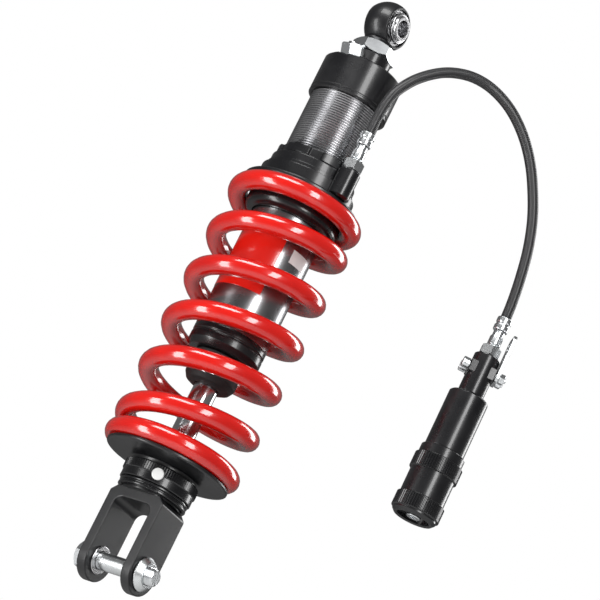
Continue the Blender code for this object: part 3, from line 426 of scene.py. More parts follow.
def addBraid(material, turnsAlong, turnsRound):
    # two sets of slanted bands that cross, from the tube's own UV map, with painted shade in the hollows of
    # the weave
    nodes, links = material.node_tree.nodes, material.node_tree.links
    shader = nodes["Principled BSDF"]
    place = nodes.new("ShaderNodeUVMap")
    place.uv_map = "UVMap"
    heights = []
    for sign in (1, -1):
        mapping = nodes.new("ShaderNodeMapping")
        mapping.inputs["Scale"].default_value = (turnsAlong, sign * turnsRound, 1)
        wave = nodes.new("ShaderNodeTexWave")
        wave.bands_direction = "DIAGONAL"
        wave.inputs["Scale"].default_value = 0.5
        links.new(place.outputs["UV"], mapping.inputs["Vector"])
        links.new(mapping.outputs["Vector"], wave.inputs["Vector"])
        heights.append(wave.outputs["Fac"])
    top = nodes.new("ShaderNodeMath")
    top.operation = "MULTIPLY"
    links.new(heights[0], top.inputs[0])
    links.new(heights[1], top.inputs[1])
    bump = nodes.new("ShaderNodeBump")
    bump.inputs["Strength"].default_value = 0.7
    bump.inputs["Distance"].default_value = 0.0003
    links.new(top.outputs[0], bump.inputs["Height"])
    links.new(bump.outputs["Normal"], shader.inputs["Normal"])
    # painted shade: the braid's colour is darker in the hollows between the crossing strands and lighter on
    # their crests, following the bump's height
    paintedWeaveShade = nodes.new("ShaderNodeMix")
    paintedWeaveShade.data_type = "RGBA"
    paintedWeaveShade.inputs[6].default_value = (0.006, 0.006, 0.007, 1)
    paintedWeaveShade.inputs[7].default_value = (0.045, 0.045, 0.047, 1)
    links.new(top.outputs[0], paintedWeaveShade.inputs["Factor"])
    links.new(paintedWeaveShade.outputs[2], shader.inputs["Base Color"])


hoseCentre = hoseLine(hose)
hosePiece = tubeShape("preloadHose", hoseCentre, hose["diameter"] / 2)
addBraid(paint["hoseBraid"], 260, 10)
finishPiece(hosePiece, "hoseBraid", "damper_body", ["hose"])
print("hose made, length", round(lengthOf(hoseCentre), 4))


fitting = {"ferrule": 0.0044, "groove": 0.0005, "stem": 0.0038, "waist": 0.0009, "hexFlats": 0.011,
           "hexHeight": 0.006, "seatDepth": 0.0163}


def ferruleAndUnion(label, node, ferruleNode, place):
    low, high = bottomOf(ferruleNode), topOf(ferruleNode)
    middle = (low + high) / 2
    outer, stem = fitting["ferrule"], fitting["stem"]
    sunk, waist = outer - fitting["groove"], stem - fitting["waist"]
    groove = [(outer, middle + 0.0011), (sunk, middle + 0.0006), (sunk, middle - 0.0006),
              (outer, middle - 0.0011)]
    outline = [(0, high), (outer - 0.0004, high), (outer, high - 0.0005), *groove, (outer, low + 0.0005),
               (outer - 0.0004, low), (0, low)]
    ferrule = finishPiece(latheShape(label + "Ferrule", outline, 64), "zinc", "damper_body", [ferruleNode],
                          bevel=0.00012, place=place)
    unionTop = topOf(node)
    seat = unionTop - fitting["seatDepth"]
    hexTop = seat + fitting["hexHeight"]
    outline = [(0, unionTop), (stem - 0.0006, unionTop), (stem - 0.0006, unionTop - 0.003),
               (stem, unionTop - 0.0042), (stem, hexTop + 0.0016), (waist, hexTop + 0.0012),
               (waist, hexTop - 0.001), (0, hexTop - 0.001)]
    finishPiece(
        latheShape(label + "UnionStem", outline, 64), "zinc", "damper_body", bevel=0.00015, place=place,
    )
    hexagon = hexShape(label + "UnionHex", fitting["hexFlats"], seat, hexTop, chamfer=0.0009)
    finishPiece(hexagon, "zinc", "damper_body", [node], bevel=0.0001, place=place)
    return ferrule


shockFerrule = ferruleAndUnion("shock", "hose_union_shock", "hose_ferrule_shock", portPlace)
adjusterFerrule = ferruleAndUnion("adjuster", "hose_union_adjuster", "hose_ferrule_adjuster", adjusterPlace)


# upper eye

eye = {"radius": 0.0144, "halfWidth": 0.008, "seat": 0.0108, "shank": 0.008, "shankEnd": bottomOf("top_eye"),
       "ball": 0.0085, "ballHalf": 0.0062, "bore": 0.0051, "bushEnd": 0.011}


def makeUpperEye(e):
    half, radius = e["halfWidth"], e["radius"]
    spread = math.degrees(math.asin(half / radius))
    outline = [(e["seat"], half), *arcPoints((0, 0), radius, spread, -spread, 16), (e["seat"], -half)]
    ring = latheShape("upperEye", outline, 96)
    finishPiece(ring, "blackPaint", "damper_body", ["top_eye"], bevel=0.0003, place=lyingAlongX())
    shankTop = -e["seat"] - 0.0012
    outline = [(0, shankTop), (e["shank"] + 0.0015, shankTop), (e["shank"], shankTop - 0.002),
               (e["shank"], e["shankEnd"]), (0, e["shankEnd"])]
    finishPiece(latheShape("upperEyeShank", outline, 64), "blackPaint", "damper_body", bevel=0.0002)

    race = [(e["seat"] - gap, 0.0056), (e["seat"] - gap, -0.0056), *arcPoints((0, 0), 0.0088, -39, 39, 12)]
    finishPiece(
        latheShape("bearingRace", race, 96), "steel", "damper_body", ["bearing_race"],
        place=lyingAlongX(),
    )
    ball = [
        (e["bore"], e["ballHalf"]), (e["bore"], -e["ballHalf"]),
        *arcPoints((0, 0), e["ball"], -46.8, 46.8, 14),
    ]
    finishPiece(latheShape("eyeBall", ball, 96), "chrome", "eye_ball", ["eye_ball"], place=lyingAlongX())
    for side, sign in (("left", -1), ("right", 1)):
        clip = [(0.0093, 0.0059), (0.0105, 0.0059), (0.0105, 0.007), (0.0093, 0.007)]
        finishPiece(latheShape("eyeClip" + side.title(), clip, 72), "steel", "damper_body",
                    ["eye_circlip_" + side], bevel=0.0002, place=lyingAlongX(sign))
        end = e["bushEnd"]
        bush = [(e["bore"], 0.0065), (0.0058, 0.0065), (0.0058, 0.0077), (0.0088, 0.0077), (0.0088, 0.0092),
                (0.0084, 0.0096), (0.0073, 0.0096), (0.0073, end - 0.0004), (0.0069, end), (e["bore"], end)]
        finishPiece(latheShape("eyeBush" + side.title(), bush, 96), "steel", "eye_ball", ["eye_bush_" + side],
                    bevel=0.0002, place=lyingAlongX(sign))
    nut = hexShape(
        "eyeLockNut", 0.024, bottomOf("eye_lock_nut"), topOf("eye_lock_nut"), turn=7, chamfer=0.0016,
    )
    finishPiece(nut, "zinc", "damper_body", ["eye_lock_nut"], bevel=0.0003)


makeUpperEye(eye)
print("upper eye made")


# head, valve and body tube

head = {"radius": 0.024, "neck": 0.0123, "neckTop": topOf("head_cap"), "shoulder": -0.033,
        "end": bottomOf("head_cap"), "valveReach": 0.0165, "valveTilt": 30}


def makeHead(h):
    outer, neck, top, shoulder, end = h["radius"], h["neck"], h["neckTop"], h["shoulder"], h["end"]
    outline = [(0.0083, top), (neck - 0.0005, top), (neck, top - 0.0006), (neck, shoulder + 0.0014),
               (neck + 0.0014, shoulder), (outer - 0.0012, shoulder), (outer, shoulder - 0.0012),
               (outer, end + 0.0032), (outer - 0.0004, end + 0.0028), (outer - 0.0004, end + 0.0022),
               (outer, end + 0.0018), (outer, end + 0.0008), (outer - 0.0008, end), (0.0219, end),
               (0.0219, end + 0.004),
               (0.0083, end + 0.004)]
    piece = latheShape("headCap", outline, 128)
    tilt = Matrix.Translation((0, -h["valveReach"], shoulder)) @ Matrix.Rotation(
        math.radians(h["valveTilt"]), 4, "X",
    )
    cutHole(piece, 0.0076, 0.0007, 0.02, tilt)
    finishPiece(piece, "blackAnodised", "damper_body", ["head_cap"], bevel=0.0003)
    valve = hexShape("valveCap", 0.012, 0.001, 0.0088, turn=20, chamfer=0.001)
    finishPiece(valve, "zinc", "damper_body", ["valve_cap"], bevel=0.0002, place=tilt)
    screw = latheShape(
        "valveScrew", [(0, 0.0097), (0.0026, 0.0097), (0.0032, 0.0087), (0.0032, 0.0075), (0, 0.0075)],
        48,
    )
    cutHole(screw, 0.0013, 0.0085, 0.0135, Matrix.Identity(4))
    finishPiece(screw, "steel", "damper_body", bevel=0.0001, place=tilt)


makeHead(head)

tube = {"radius": 0.0215, "bore": 0.019, "top": topOf("body_tube"), "end": bottomOf("body_tube"),
        "threadTop": -0.0565, "threadEnd": -0.1330, "pitch": 0.0015, "depth": 0.0007}


def makeBodyTube(t):
    outline = [(t["bore"], t["top"]), (t["radius"] - t["depth"], t["top"])]
    height = t["threadTop"]
    while height > t["threadEnd"]:
        outline += [(t["radius"] - t["depth"], height), (t["radius"], height - t["pitch"] * 0.42),
                    (t["radius"], height - t["pitch"] * 0.55)]
        height -= t["pitch"]
    outline += [(t["radius"] - t["depth"], height), (t["radius"], height - 0.0012),
                (t["radius"], t["end"] + 0.0004), (t["radius"] - 0.0004, t["end"]), (t["bore"], t["end"])]
    finishPiece(latheShape("bodyTube", outline, 96), "tubeMetal", "damper_body", ["body_tube"], smooth=25)


makeBodyTube(tube)
print("head and body tube made")


# preload lock ring, housing and upper spring seat

preload = {"ringOuter": 0.0245, "notches": 6, "notchHalf": 9.0, "housing": 0.0285, "seatFlange": 0.035,
           "hub": 0.0278, "port": 0.0064}


def makePreload(p):
    low, high = bottomOf("preload_lock_ring"), topOf("preload_lock_ring")
    outer = p["ringOuter"]
    ring = latheShape("lockRing", [(0.0218, high), (outer, high), (outer, low), (0.0218, low)], 120)
    slot = 360 / p["notches"]

    def inNotch(point):
        turn = (math.degrees(math.atan2(point.y, point.x)) + slot / 2) % slot - slot / 2
        return abs(turn) <= p["notchHalf"] and point.xy.length > outer - 0.0005
    pullIn(ring, (outer - 0.0014) / outer, inNotch)
    finishPiece(ring, "blackAnodised", "damper_body", ["preload_lock_ring"], bevel=0.00025)

    top, end = low - gap, bottomOf("preload_housing")
    wide = p["housing"]
    step = top - 0.0062
    outline = [(0.0218, top), (wide - 0.0036, top), (wide - 0.0028, top - 0.0008), (wide - 0.0028, step),
               *arcPoints((wide - 0.0008, step), 0.0020, 180, 260, 5), (wide, step - 0.0022),
               (wide, end + 0.0006),
               (wide - 0.0006, end), (0.0267, end), (0.0267, end + 0.011), (0.0233, end + 0.011),
               (0.0233, end),
               (0.0218, end)]
    finishPiece(latheShape("preloadHousing", outline, 128), "blackAnodised", "damper_body",
                ["preload_housing"], bevel=0.0003)
    bossTop = topOf("preload_housing")
    outline = [(0, bossTop), (p["port"] - 0.0008, bossTop), (p["port"], bossTop - 0.0008),
               (p["port"], end + 0.0014), (p["port"] - 0.0016, end + 0.0003), (0, end + 0.0003)]
    boss = latheShape("hosePort", outline, 72)
    groove = latheShape(
        "groove", [(0, end + 0.02), (0.0266, end + 0.02), (0.0266, end - 0.01), (0, end - 0.01)], 96,
    )
    groove.matrix_world = portPlace.inverted()
    applyModifier(boss, "BOOLEAN", operation="DIFFERENCE", object=groove, solver="EXACT")
    bpy.data.objects.remove(groove)
    finishPiece(boss, "blackAnodised", "damper_body", bevel=0.0002, place=portPlace)

    flangeTop = end - gap
    flangeEnd = flangeTop - 0.0025
    hubEnd = bottomOf("upper_spring_seat")
    flange, hub, skirt = p["seatFlange"], p["hub"], topOf("upper_spring_seat")
    outline = [(0.0222, flangeTop), (0.0235, flangeTop), (0.0235, skirt), (0.0264, skirt),
               (0.0264, flangeTop),
               (flange - 0.0008, flangeTop), (flange, flangeTop - 0.0008), (flange, flangeEnd),
               (hub, flangeEnd), *arcPoints((hub - 0.0045, hubEnd + 0.0045), 0.0045, 0, -90, 6),
               (0.0222, hubEnd)]
    finishPiece(latheShape("upperSpringSeat", outline, 128), "blackAnodised", "preload_seat",
                ["upper_spring_seat"], bevel=0.0003)


makePreload(preload)
print("preload housing and seat made")


# spring

spring = {"wire": 0.0115, "innerRadius": 0.0285, "top": topOf("spring"), "bottom": bottomOf("spring"),
          "pitch": 0.0288, "endPitch": 0.0034, "bottomFlat": 0.48, "topFlat": 0.35, "easing": 0.36,
          "start": -161.0,
          "ground": 0.15, "stepsPerTurn": 60, "seamAngle": 127.0, "seamHeight": -0.1565, "travel": 0.046}


def springLine(s):
    mean = (s["endPitch"] + s["pitch"]) / 2
    ends = (s["bottomFlat"] + s["topFlat"]) * s["endPitch"] + 2 * s["easing"] * mean
    rise = s["top"] - s["bottom"] - s["wire"] * (1 - 2 * s["ground"])
    turns = s["bottomFlat"] + s["topFlat"] + 2 * s["easing"] + (rise - ends) / s["pitch"]
    steps = round(turns * s["stepsPerTurn"])
    radius = s["innerRadius"] + s["wire"] / 2
    height = s["bottom"] + s["wire"] * (0.5 - s["ground"])
    line = []
    for k in range(steps + 1):
        turn = turns * k / steps
        angle = math.radians(s["start"] + 360 * turn)
        line.append(Vector((radius * math.cos(angle), radius * math.sin(angle), height)))
        open_ = min((turn - s["bottomFlat"]) / s["easing"], (turns - turn - s["topFlat"]) / s["easing"])
        height += turns / steps * (s["endPitch"] + (s["pitch"] - s["endPitch"]) * min(max(open_, 0), 1))
    return line


def seamIndex(s, line):
    # the point of the wire, behind the damper, where the two pieces of the spring meet
    def misfit(k):
        turn = math.degrees(math.atan2(line[k].y, line[k].x)) - s["seamAngle"]
        return abs((turn + 180) % 360 - 180) / 90 + abs(line[k].z - s["seamHeight"]) / 0.01
    return min(range(len(line)), key=misfit)


def groundFlat(piece, height, keepBelow):
    onlySelect(piece)
    bpy.ops.object.mode_set(mode="EDIT")
    bpy.ops.mesh.select_all(action="SELECT")
    bpy.ops.mesh.bisect(plane_co=(0, 0, height), plane_no=(0, 0, 1), use_fill=True, clear_outer=keepBelow,
                        clear_inner=not keepBelow)
    bpy.ops.object.mode_set(mode="OBJECT")


def makeSpring(s):
    line = springLine(s)
    seam = seamIndex(s, line)
    upper = tubeShape("springUpperCoils", line[seam:], s["wire"] / 2, resolution=8)
    lower = tubeShape("springLowerCoils", line[:seam + 1], s["wire"] / 2, resolution=8)
    groundFlat(upper, s["top"], True)
    groundFlat(lower, s["bottom"], False)
    for piece in (upper, lower):
        onlySelect(piece)
        bpy.ops.object.shade_smooth_by_angle(angle=math.radians(40))
        piece.data.materials.clear()
        piece.data.materials.append(paint["redPowderCoat"])
    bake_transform(upper)
    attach(lower, "damper_body")
    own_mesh(lower)
    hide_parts("spring")
    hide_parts("spring")


makeSpring(spring)
print("spring made")


# seal head, bump stop and rod

shaft = {"rod": 0.007, "bump": 0.015}


def makeSealAndRod(s):
    top, end = topOf("seal_head"), bottomOf("seal_head")
    rim = bottomOf("body_tube") - gap
    wide = 0.0215
    outline = [(0.0073, top), (0.0187, top), (0.0187, rim), (wide, rim), (wide, rim - 0.003),
               (wide - 0.0006, rim - 0.0034), (wide - 0.0006, rim - 0.0042), (wide, rim - 0.0046),
               (wide, end + 0.0035),
               (wide - 0.0022, end), (0.0108, end), (0.0108, end + 0.005), (0.0073, end + 0.005)]
    finishPiece(
        latheShape("sealHead", outline, 112), "blackAnodised", "damper_body", ["seal_head"], bevel=0.0003,
    )
    high, low = topOf("bump_stop"), bottomOf("bump_stop")
    wide = s["bump"]
    outline = [(0.0073, high), (wide - 0.0004, high), (wide, high - 0.0008), (wide, high - 0.0056),
               (wide - 0.0012, high - 0.0066), (wide - 0.0012, high - 0.0078), (wide, high - 0.0088),
               (wide, low + 0.0045), (wide - 0.002, low + 0.0012), (wide - 0.0045, low), (0.0073, low)]
    finishPiece(latheShape("bumpStop", outline, 96), "rubber", "damper_body", ["bump_stop"], bevel=0.0004)
    step, low, high = -0.1939, bottomOf("piston_rod"), topOf("piston_rod")
    outline = [(0, high), (0.0046, high), (0.005, high - 0.0005), (0.005, step), (s["rod"], step),
               (s["rod"], low), (0, low)]
    finishPiece(latheShape("pistonRod", outline, 72), "chrome", "rod_assembly", ["piston_rod"], bevel=0.0002)


makeSealAndRod(shaft)
print("seal head and rod made")


# labels on the body tube: plain colours, with no lettering

labels = {
    "redBand": {"finish": "redSticker", "top": -0.1410, "bottom": -0.1862, "start": -153.0, "end": -43.0},
    "redBandWhiteLine": {"finish": "plainWhite", "top": -0.1772, "bottom": -0.1784, "start": -153.0,
                         "end": -43.0},
    "whitePlate": {"finish": "plainWhite", "top": -0.1532, "bottom": -0.1612, "start": -26.0, "end": 7.0},
}


def makeLabels(given):
    for name, label in given.items():
        radius = tube["radius"] + (0.0002 if name == "redBandWhiteLine" else 0.00005)
        outline = [(radius, label["top"]), (radius, label["bottom"])]
        patch = latheShape(name, outline, 48, sweep=label["end"] - label["start"])
        applyModifier(patch, "SOLIDIFY", thickness=0.00012, offset=1)
        finishPiece(
            patch, label["finish"], "damper_body",
            place=Matrix.Rotation(math.radians(label["end"]), 4, "Z"),
        )


makeLabels(labels)
print("labels made")


# lower spring seat, rebound ring and retaining ring

foot = {"seat": 0.0363, "hub": 0.019, "ring": 0.0217, "knurls": 96, "knurlDepth": 0.0005, "retainer": 0.0202,
        "button": 0.0034, "buttonAngle": -59.0}


def makeFoot(f):
    top, end = bottomOf("spring") - gap, bottomOf("lower_spring_seat")
    lipTop = topOf("lower_spring_seat")
    wide, hub = f["seat"], f["hub"]
    outline = [(0.0153, lipTop), (0.0258, lipTop), (0.0278, lipTop - 0.002), (0.0278, top),
               (wide - 0.0006, top),
               (wide, top - 0.0006), (wide, top - 0.0018), (wide - 0.0008, top - 0.0024),
               (hub + 0.0024, top - 0.0038), *arcPoints((hub + 0.0014, top - 0.0052), 0.0014, 90, 180, 4),
               (hub, end), (0.0153, end)]
    finishPiece(latheShape("lowerSpringSeat", outline, 144), "blackPaint", "rod_assembly",
                ["lower_spring_seat"], bevel=0.0003)

    high, low = topOf("rebound_ring"), bottomOf("rebound_ring")
    wide = f["ring"]
    band = high - 0.0052
    outline = [(0.0178, high), (wide - 0.0006, high), (wide, high - 0.0006), (wide, band),
               (wide - 0.0007, band - 0.0005),
               (wide - 0.0007, low + 0.0004), (wide - 0.0011, low), (0.0178, low)]
    ring = latheShape("reboundRing", outline, f["knurls"] * 2)
    column = 360 / (f["knurls"] * 2)

    def inKnurl(point):
        index = round(math.degrees(math.atan2(point.y, point.x)) / column)
        isOuter = point.xy.length > wide - 0.0001
        return index % 2 == 1 and isOuter and point.z > band - 0.0001
    pullIn(ring, (wide - f["knurlDepth"]) / wide, inKnurl)
    level = (high + low) / 2 - 0.0002
    turn = Matrix.Rotation(math.radians(f["buttonAngle"]), 4, "Z")
    radial = turn @ Matrix.Translation((0, 0, level)) @ lyingAlongX()
    cutHole(ring, f["button"] + gap, wide - 0.0013, wide + 0.003, radial)
    finishPiece(ring, "blackAnodised", "rebound_ring", ["rebound_ring"], smooth=25)
    face = wide - 0.0013 + gap
    size = f["button"]
    outline = [
        (0, face + 0.0011), (size - 0.0004, face + 0.0011), (size, face + 0.0007), (size, face),
        (0, face),
    ]
    finishPiece(latheShape("indexButton", outline, 64), "plainWhite", "rebound_ring", ["index_button"],
                bevel=0.0001, place=radial)

    high, low = topOf("retaining_ring"), bottomOf("retaining_ring")
    wide = f["retainer"]
    middle = (high + low) / 2
    outline = [(0.0178, high), (wide - 0.0003, high), (wide, high - 0.0003), (wide, middle + 0.0007),
               (wide - 0.0009, middle + 0.0003), (wide - 0.0009, middle - 0.0003), (wide, middle - 0.0007),
               (wide, low + 0.0003), (wide - 0.0003, low), (0.0178, low)]
    finishPiece(latheShape("retainingRing", outline, 112), "blackAnodised", "rod_assembly",
                ["retaining_ring"], bevel=0.0002)


makeFoot(foot)
print("lower seat and rebound ring made")


# clevis, its bushes and its bolt

clevis = {"axis": -0.352, "earInner": 0.0125, "earOuter": 0.0185, "earRadius": 0.0125, "top": -0.3111,
          "crotchRadius": 0.005, "crotch": -0.3175, "bolt": 0.005}


def extrudedShape(name, outline, halfDepth):
    # an outline in XZ, filled and extruded through its depth along Y
    deselectAll()
    bpy.ops.mesh.primitive_plane_add(size=0.002)
    piece = bpy.context.object
    piece.name = name
    bpy.ops.object.mode_set(mode="EDIT")
    bpy.ops.mesh.select_all(action="SELECT")
    bpy.ops.mesh.merge(type="CENTER")
    bpy.ops.transform.translate(value=(outline[0][0], -halfDepth, outline[0][1]))
    for (x, z), (nextX, nextZ) in zip(outline, outline[1:]):
        bpy.ops.mesh.extrude_region_move(TRANSFORM_OT_translate={"value": (nextX - x, 0, nextZ - z)})
    bpy.ops.mesh.select_all(action="SELECT")
    bpy.ops.mesh.edge_face_add()
    bpy.ops.mesh.extrude_region_move(TRANSFORM_OT_translate={"value": (0, 2 * halfDepth, 0)})
    bpy.ops.mesh.select_all(action="SELECT")
    bpy.ops.mesh.normals_make_consistent(inside=False)
    bpy.ops.object.mode_set(mode="OBJECT")
    return piece


def makeClevis(c):
    inner, outer, radius = c["earInner"], c["earOuter"], c["earRadius"]
    low = c["axis"] - radius
    centre = inner - c["crotchRadius"]
    corner = c["crotch"] - c["crotchRadius"]
    crotch = (arcPoints((-centre, corner), c["crotchRadius"], 180, 90, 8)
              + arcPoints((centre, corner), c["crotchRadius"], 90, 0, 8))
    outline = [(inner, low), (outer, low), (outer, c["top"] - 0.004), (outer - 0.004, c["top"]),
               (-outer + 0.004, c["top"]), (-outer, c["top"] - 0.004), (-outer, low), (-inner, low), *crotch]
    fork = extrudedShape("clevisFork", outline, radius)
    side = arcPoints((0, c["axis"]), radius, 180, 360, 40) + [
        (radius, c["top"] + 0.001), (-radius, c["top"] + 0.001),
    ]
    silhouette = extrudedShape("silhouette", side, 0.03)
    silhouette.matrix_world = Matrix.Rotation(math.radians(90), 4, "Z")
    applyModifier(fork, "BOOLEAN", operation="INTERSECT", object=silhouette, solver="EXACT")
    bpy.data.objects.remove(silhouette)
    bore = Matrix.Translation((0, 0, c["axis"])) @ lyingAlongX()
    cutHole(fork, 0.007, -0.03, 0.03, bore)
    finishPiece(fork, "blackPaint", "rod_assembly", ["clevis"], bevel=0.0007, segments=3)
    high = topOf("clevis")
    shoulder = topOf("rebound_ring") + gap
    outline = [(0.0073, high), (0.0146, high), (0.015, high - 0.0004), (0.015, shoulder), (0.0175, shoulder),
               (0.0175, c["top"] - 0.0008), (0.0073, c["top"] - 0.0008)]
    finishPiece(latheShape("clevisBoss", outline, 96), "blackPaint", "rod_assembly", bevel=0.0002)

    for side, sign in (("left", -1), ("right", 1)):
        face = inner - gap
        place = Matrix.Translation((0, 0, c["axis"])) @ lyingAlongX(sign)
        outline = [(0.0053, face - 0.0008), (0.0076, face - 0.0008), (0.0079, face - 0.0005), (0.0079, face),
                   (0.0067, face), (0.0067, outer - gap), (0.0053, outer - gap)]
        finishPiece(latheShape("clevisBush" + side.title(), outline, 80), "steel", "rod_assembly",
                    ["clevis_bush_" + side], bevel=0.00015, place=place)


def makeClevisBolt(c):
    place = Matrix.Translation((0, 0, c["axis"])) @ lyingAlongX()
    low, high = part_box("clevis_bolt")[0].x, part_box("clevis_bolt")[1].x
    face = c["earOuter"] + gap
    bolt = hexShape("clevisBoltHead", 0.015, low, -face, chamfer=0.0012)
    finishPiece(bolt, "zinc", "rod_assembly", ["clevis_bolt"], bevel=0.0002, place=place)
    radius = c["bolt"]
    outline = [(0, high), (radius - 0.0012, high), (radius - 0.0002, high - 0.001)]
    height = high - 0.001
    while height > face + 0.0002:
        outline += [(radius - 0.0006, height - 0.0006), (radius, height - 0.0011)]
        height -= 0.00125
    outline += [(radius, -face - 0.001), (0, -face - 0.001)]
    finishPiece(latheShape("clevisBoltShaft", outline, 72), "zinc", "rod_assembly", place=place, smooth=25)
    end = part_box("clevis_flange_nut")[1].x
    outline = [(radius + gap, face), (0.0093, face), (0.0095, face + 0.0002), (0.0095, face + 0.0008),
               (radius + 0.0018, end), (radius + gap, end)]
    finishPiece(latheShape("clevisFlangeNut", outline, 96), "zinc", "rod_assembly", ["clevis_flange_nut"],
                bevel=0.0002, place=place)


makeClevis(clevis)
makeClevisBolt(clevis)
print("clevis made")


# hand adjuster

adjuster = {"neck": 0.0076, "barrel": 0.01165, "bore": 0.009, "knob": 0.0142, "waist": 0.013, "knurls": 60,
            "bands": [(0.0055, 0.0150), (0.0300, 0.0392)], "knurlDepth": 0.00055, "recess": 0.0095,
            "lugHalf": 0.0079, "lugDepth": 0.0065, "lugTop": -0.1590, "lugEnd": -0.1665, "lugBore": 0.0057,
            "plate": 0.002, "plateDepth": 0.0076, "plateCorner": 0.0035, "boltSpread": 0.0042,
            "boltHeight": -0.1628, "boltHead": 0.0032, "socket": 0.0014, "stud": 0.0016, "nutFlats": 0.0055}


def makeNeckAndBarrel(a):
    top, end = topOf("adjuster_neck"), bottomOf("adjuster_neck")
    neck = a["neck"]
    outline = [(0.0033, top), (neck - 0.0006, top), (neck, top - 0.0006), (neck, end + 0.0008),
               (neck - 0.0006, end + 0.0004), (neck - 0.0006, end), (0.0033, end)]
    finishPiece(latheShape("adjusterNeck", outline, 80), "blackAnodised", "damper_body", ["adjuster_neck"],
                bevel=0.0002, place=adjusterPlace)
    lug = boxShape("adjusterLug", (-a["lugHalf"], -a["lugDepth"], a["lugEnd"]),
                   (a["lugHalf"], a["lugDepth"], a["lugTop"]))
    cutHole(lug, a["lugBore"], a["lugEnd"] - 0.0015, a["lugTop"] + 0.002, Matrix.Identity(4))
    finishPiece(lug, "blackAnodised", "damper_body", bevel=0.0006, segments=3, place=adjusterPlace)
    top, end = topOf("adjuster_barrel"), bottomOf("adjuster_barrel")
    wide = a["barrel"]
    outline = [(0.0013, top), (wide - 0.0009, top), (wide, top - 0.0009), (wide, end), (a["bore"], end),
               (a["bore"], top - 0.0027), (0.0013, top - 0.0027)]
    finishPiece(latheShape("adjusterBarrel", outline, 96), "blackAnodised", "damper_body",
                ["adjuster_barrel"], bevel=0.0002, place=adjusterPlace)


def makeKnob(a):
    top, end = topOf("adjuster_knob"), bottomOf("adjuster_knob")
    waist, wide, recess = a["waist"], a["knob"], a["recess"]
    floor = end + 0.0025
    outline = [
        (0, floor + 0.0098), (0.0033, floor + 0.0098), (0.0033, top), (waist - 0.0005, top),
        (waist, top - 0.0005),
    ]
    for start, stop in a["bands"]:
        outline += [
            (waist, top - start), (wide, top - start - 0.0006), (wide, top - stop + 0.0006),
            (waist, top - stop),
        ]
    outline += [(waist, end + 0.0016), (waist - 0.0016, end), (recess + 0.0006, end), (recess, end + 0.0006),
                (recess, floor), (0.0024, floor), (0.0024, floor + 0.0068), (0, floor + 0.0068)]
    knob = latheShape("adjusterKnob", outline, a["knurls"] * 4)
    column = 360 / (a["knurls"] * 4)

    def inKnurl(point):
        index = round(math.degrees(math.atan2(point.y, point.x)) / column) % 4
        return index in (0, 1) and point.xy.length > wide - 0.0001
    pullIn(knob, (wide - a["knurlDepth"]) / wide, inKnurl)
    finishPiece(knob, "blackAnodised", "adjuster_knob", ["adjuster_knob"], place=adjusterPlace, smooth=25)
    headTop, headEnd = floor - gap, bottomOf("knob_end_screw")
    stem = topOf("knob_end_screw")
    outline = [(0, stem), (0.002, stem), (0.002, headTop), (0.0042, headTop), (0.0042, headEnd + 0.0004),
               (0.0038, headEnd), (0, headEnd)]
    screw = latheShape("knobEndScrew", outline, 64)
    socket = hexShape("socket", 0.0030, headEnd - 0.001, headEnd + 0.0011, chamfer=0.0001)
    applyModifier(screw, "BOOLEAN", operation="DIFFERENCE", object=socket, solver="EXACT")
    bpy.data.objects.remove(socket)
    finishPiece(screw, "zinc", "adjuster_knob", ["knob_end_screw"], bevel=0.0001, place=adjusterPlace)
    low, high = bottomOf("adjuster_screw"), topOf("adjuster_screw")
    outline = [(0, high), (0.0026, high), (0.003, high - 0.0004), (0.003, low), (0, low)]
    finishPiece(latheShape("adjusterScrew", outline, 48), "steel", "adjuster_knob", ["adjuster_screw"],
                bevel=0.0001, place=adjusterPlace)


def makeBracket(a):
    inner = a["lugHalf"] + gap
    outer = inner + a["plate"]
    low, high = bottomOf("adjuster_bracket"), topOf("adjuster_bracket")
    plate = boxShape("adjusterBracket", (inner, -a["plateDepth"], low), (outer, a["plateDepth"], high))
    onlySelect(plate)
    bpy.ops.object.mode_set(mode="EDIT")
    bpy.ops.mesh.select_mode(type="EDGE")
    bpy.ops.mesh.select_all(action="DESELECT")
    mesh = bmesh.from_edit_mesh(plate.data)
    for edge in mesh.edges:
        ends = [vert.co for vert in edge.verts]
        edge.select = abs(ends[0].x - ends[1].x) > a["plate"] / 2
    bmesh.update_edit_mesh(plate.data)
    bpy.ops.mesh.bevel(offset=a["plateCorner"], segments=6, affect="EDGES")
    bpy.ops.object.mode_set(mode="OBJECT")
    hole = Matrix.Translation((0, 0, high - 0.0065)) @ lyingAlongX()
    cutHole(plate, 0.003, inner - 0.001, outer + 0.001, hole)
    finishPiece(plate, "zinc", "damper_body", ["adjuster_bracket"], bevel=0.0003, place=adjusterPlace)
    # the bolts' heads sit on the lug's far side, with round sockets, and their nuts on the plate
    face = a["lugHalf"] + gap
    head, socket, stud = a["boltHead"], a["socket"], a["stud"]
    for name, depth in (("front", -a["boltSpread"]), ("rear", a["boltSpread"])):
        place = adjusterPlace @ Matrix.Translation((0, depth, a["boltHeight"])) @ lyingAlongX()
        outline = [(0, -face), (head, -face), (head, -face - 0.0036), (head - 0.0004, -face - 0.004),
                   (socket, -face - 0.004), (socket, -face - 0.0022), (0, -face - 0.0022)]
        cap = latheShape("bracketBolt" + name.title(), outline, 56)
        finishPiece(cap, "zinc", "damper_body", ["bracket_bolt_" + name], bevel=0.00015, place=place)
        tip = outer + gap + 0.004
        outline = [(0, tip), (stud - 0.0003, tip), (stud, tip - 0.0003), (stud, -face), (0, -face)]
        stem = latheShape("bracketStud" + name.title(), outline, 40)
        finishPiece(stem, "zinc", "damper_body", bevel=0.0001, place=place)
        nut = hexShape(
            "bracketNut" + name.title(), a["nutFlats"], outer + gap, outer + gap + 0.003, chamfer=0.0005,
        )
        finishPiece(nut, "zinc", "damper_body", ["bracket_nut_" + name], bevel=0.0001, place=place)


makeNeckAndBarrel(adjuster)
makeKnob(adjuster)
makeBracket(adjuster)
print("hand adjuster made")


# the unseen inner pieces keep their own shapes

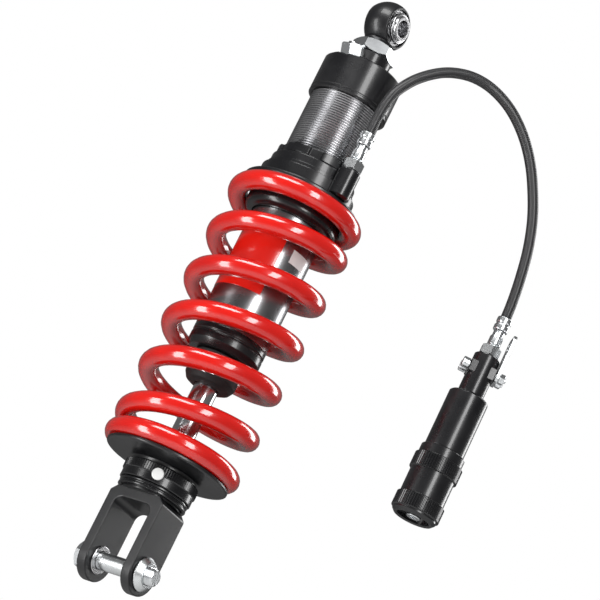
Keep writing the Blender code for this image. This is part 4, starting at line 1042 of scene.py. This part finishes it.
innerFinishes = {
    "rod_seal": "rubber", "top_out_bumper": "rubber", "piston_band": "rubber",
    "floating_piston_ring": "rubber",
    "rebound_shims": "steel", "compression_shims": "steel", "rod_nut": "steel",
    "piston": "brass", "adjuster_plunger": "brass", "floating_piston": "machinedAlloy",
}
for node, finish in innerFinishes.items():
    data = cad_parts[node].data
    data.materials.clear()
    data.materials.append(paint[finish])
print("inner pieces finished")


# floor, light and surroundings

studio = {"floorDepth": -0.9, "floorSize": 6.0, "surround": 0.13, "shown": 1.0}


def addFloor(s):
    deselectAll()
    bpy.ops.mesh.primitive_plane_add(size=s["floorSize"], location=(0, 0, s["floorDepth"]))
    floor = bpy.context.object
    floor.name = "floor"
    material = bpy.data.materials.new("paleFloor")
    material.use_nodes = True
    shader = material.node_tree.nodes["Principled BSDF"]
    shader.inputs["Base Color"].default_value = (0.85, 0.85, 0.85, 1)
    shader.inputs["Roughness"].default_value = 0.8
    floor.data.materials.append(material)


def addSurround(s):
    world = bpy.data.worlds.new("surround")
    bpy.context.scene.world = world
    world.use_nodes = True
    nodes, links = world.node_tree.nodes, world.node_tree.links
    backdrop = nodes["Background"]
    backdrop.inputs["Color"].default_value = (1, 1, 1, 1)
    ray = nodes.new("ShaderNodeLightPath")
    level = nodes.new("ShaderNodeMapRange")
    level.inputs["To Min"].default_value = s["surround"]
    level.inputs["To Max"].default_value = s["shown"]
    links.new(ray.outputs["Is Camera Ray"], level.inputs["Value"])
    links.new(level.outputs["Result"], backdrop.inputs["Strength"])


softboxes = [
    # name, sideways, upward and backward from the damper, width, height, power
    ("keyLight", 0.55, 0.35, 0.95, 0.30, 1.1, 10.5),
    ("leftLight", -0.85, 0.15, 0.55, 0.28, 1.1, 9),
    ("topLight", 0.0, 1.1, 0.35, 0.7, 0.4, 9),
    ("rimLight", 0.8, -0.1, -0.6, 0.3, 1.0, 6),
]


def addSoftboxes(given):
    target = Vector(camera["target"])
    for name, side, rise, depth, width, height, power in given:
        data = bpy.data.lights.new(name, "AREA")
        data.shape = "RECTANGLE"
        data.size, data.size_y = width, height
        data.energy = power
        lamp = bpy.data.objects.new(name, data)
        bpy.context.scene.collection.objects.link(lamp)
        spot = target + across * side + upward * rise + back * depth
        aim = (target - spot).normalized()
        up = Vector((0, 0, 1)) if abs(aim.z) < 0.9 else Vector((0, 1, 0))
        right = aim.cross(up).normalized()
        turn = Matrix((right, right.cross(aim), -aim)).transposed().to_4x4()
        lamp.matrix_world = Matrix.Translation(spot) @ turn


addFloor(studio)
addSurround(studio)
addSoftboxes(softboxes)
bpy.context.scene.view_settings.view_transform = "Standard"
print("studio made")
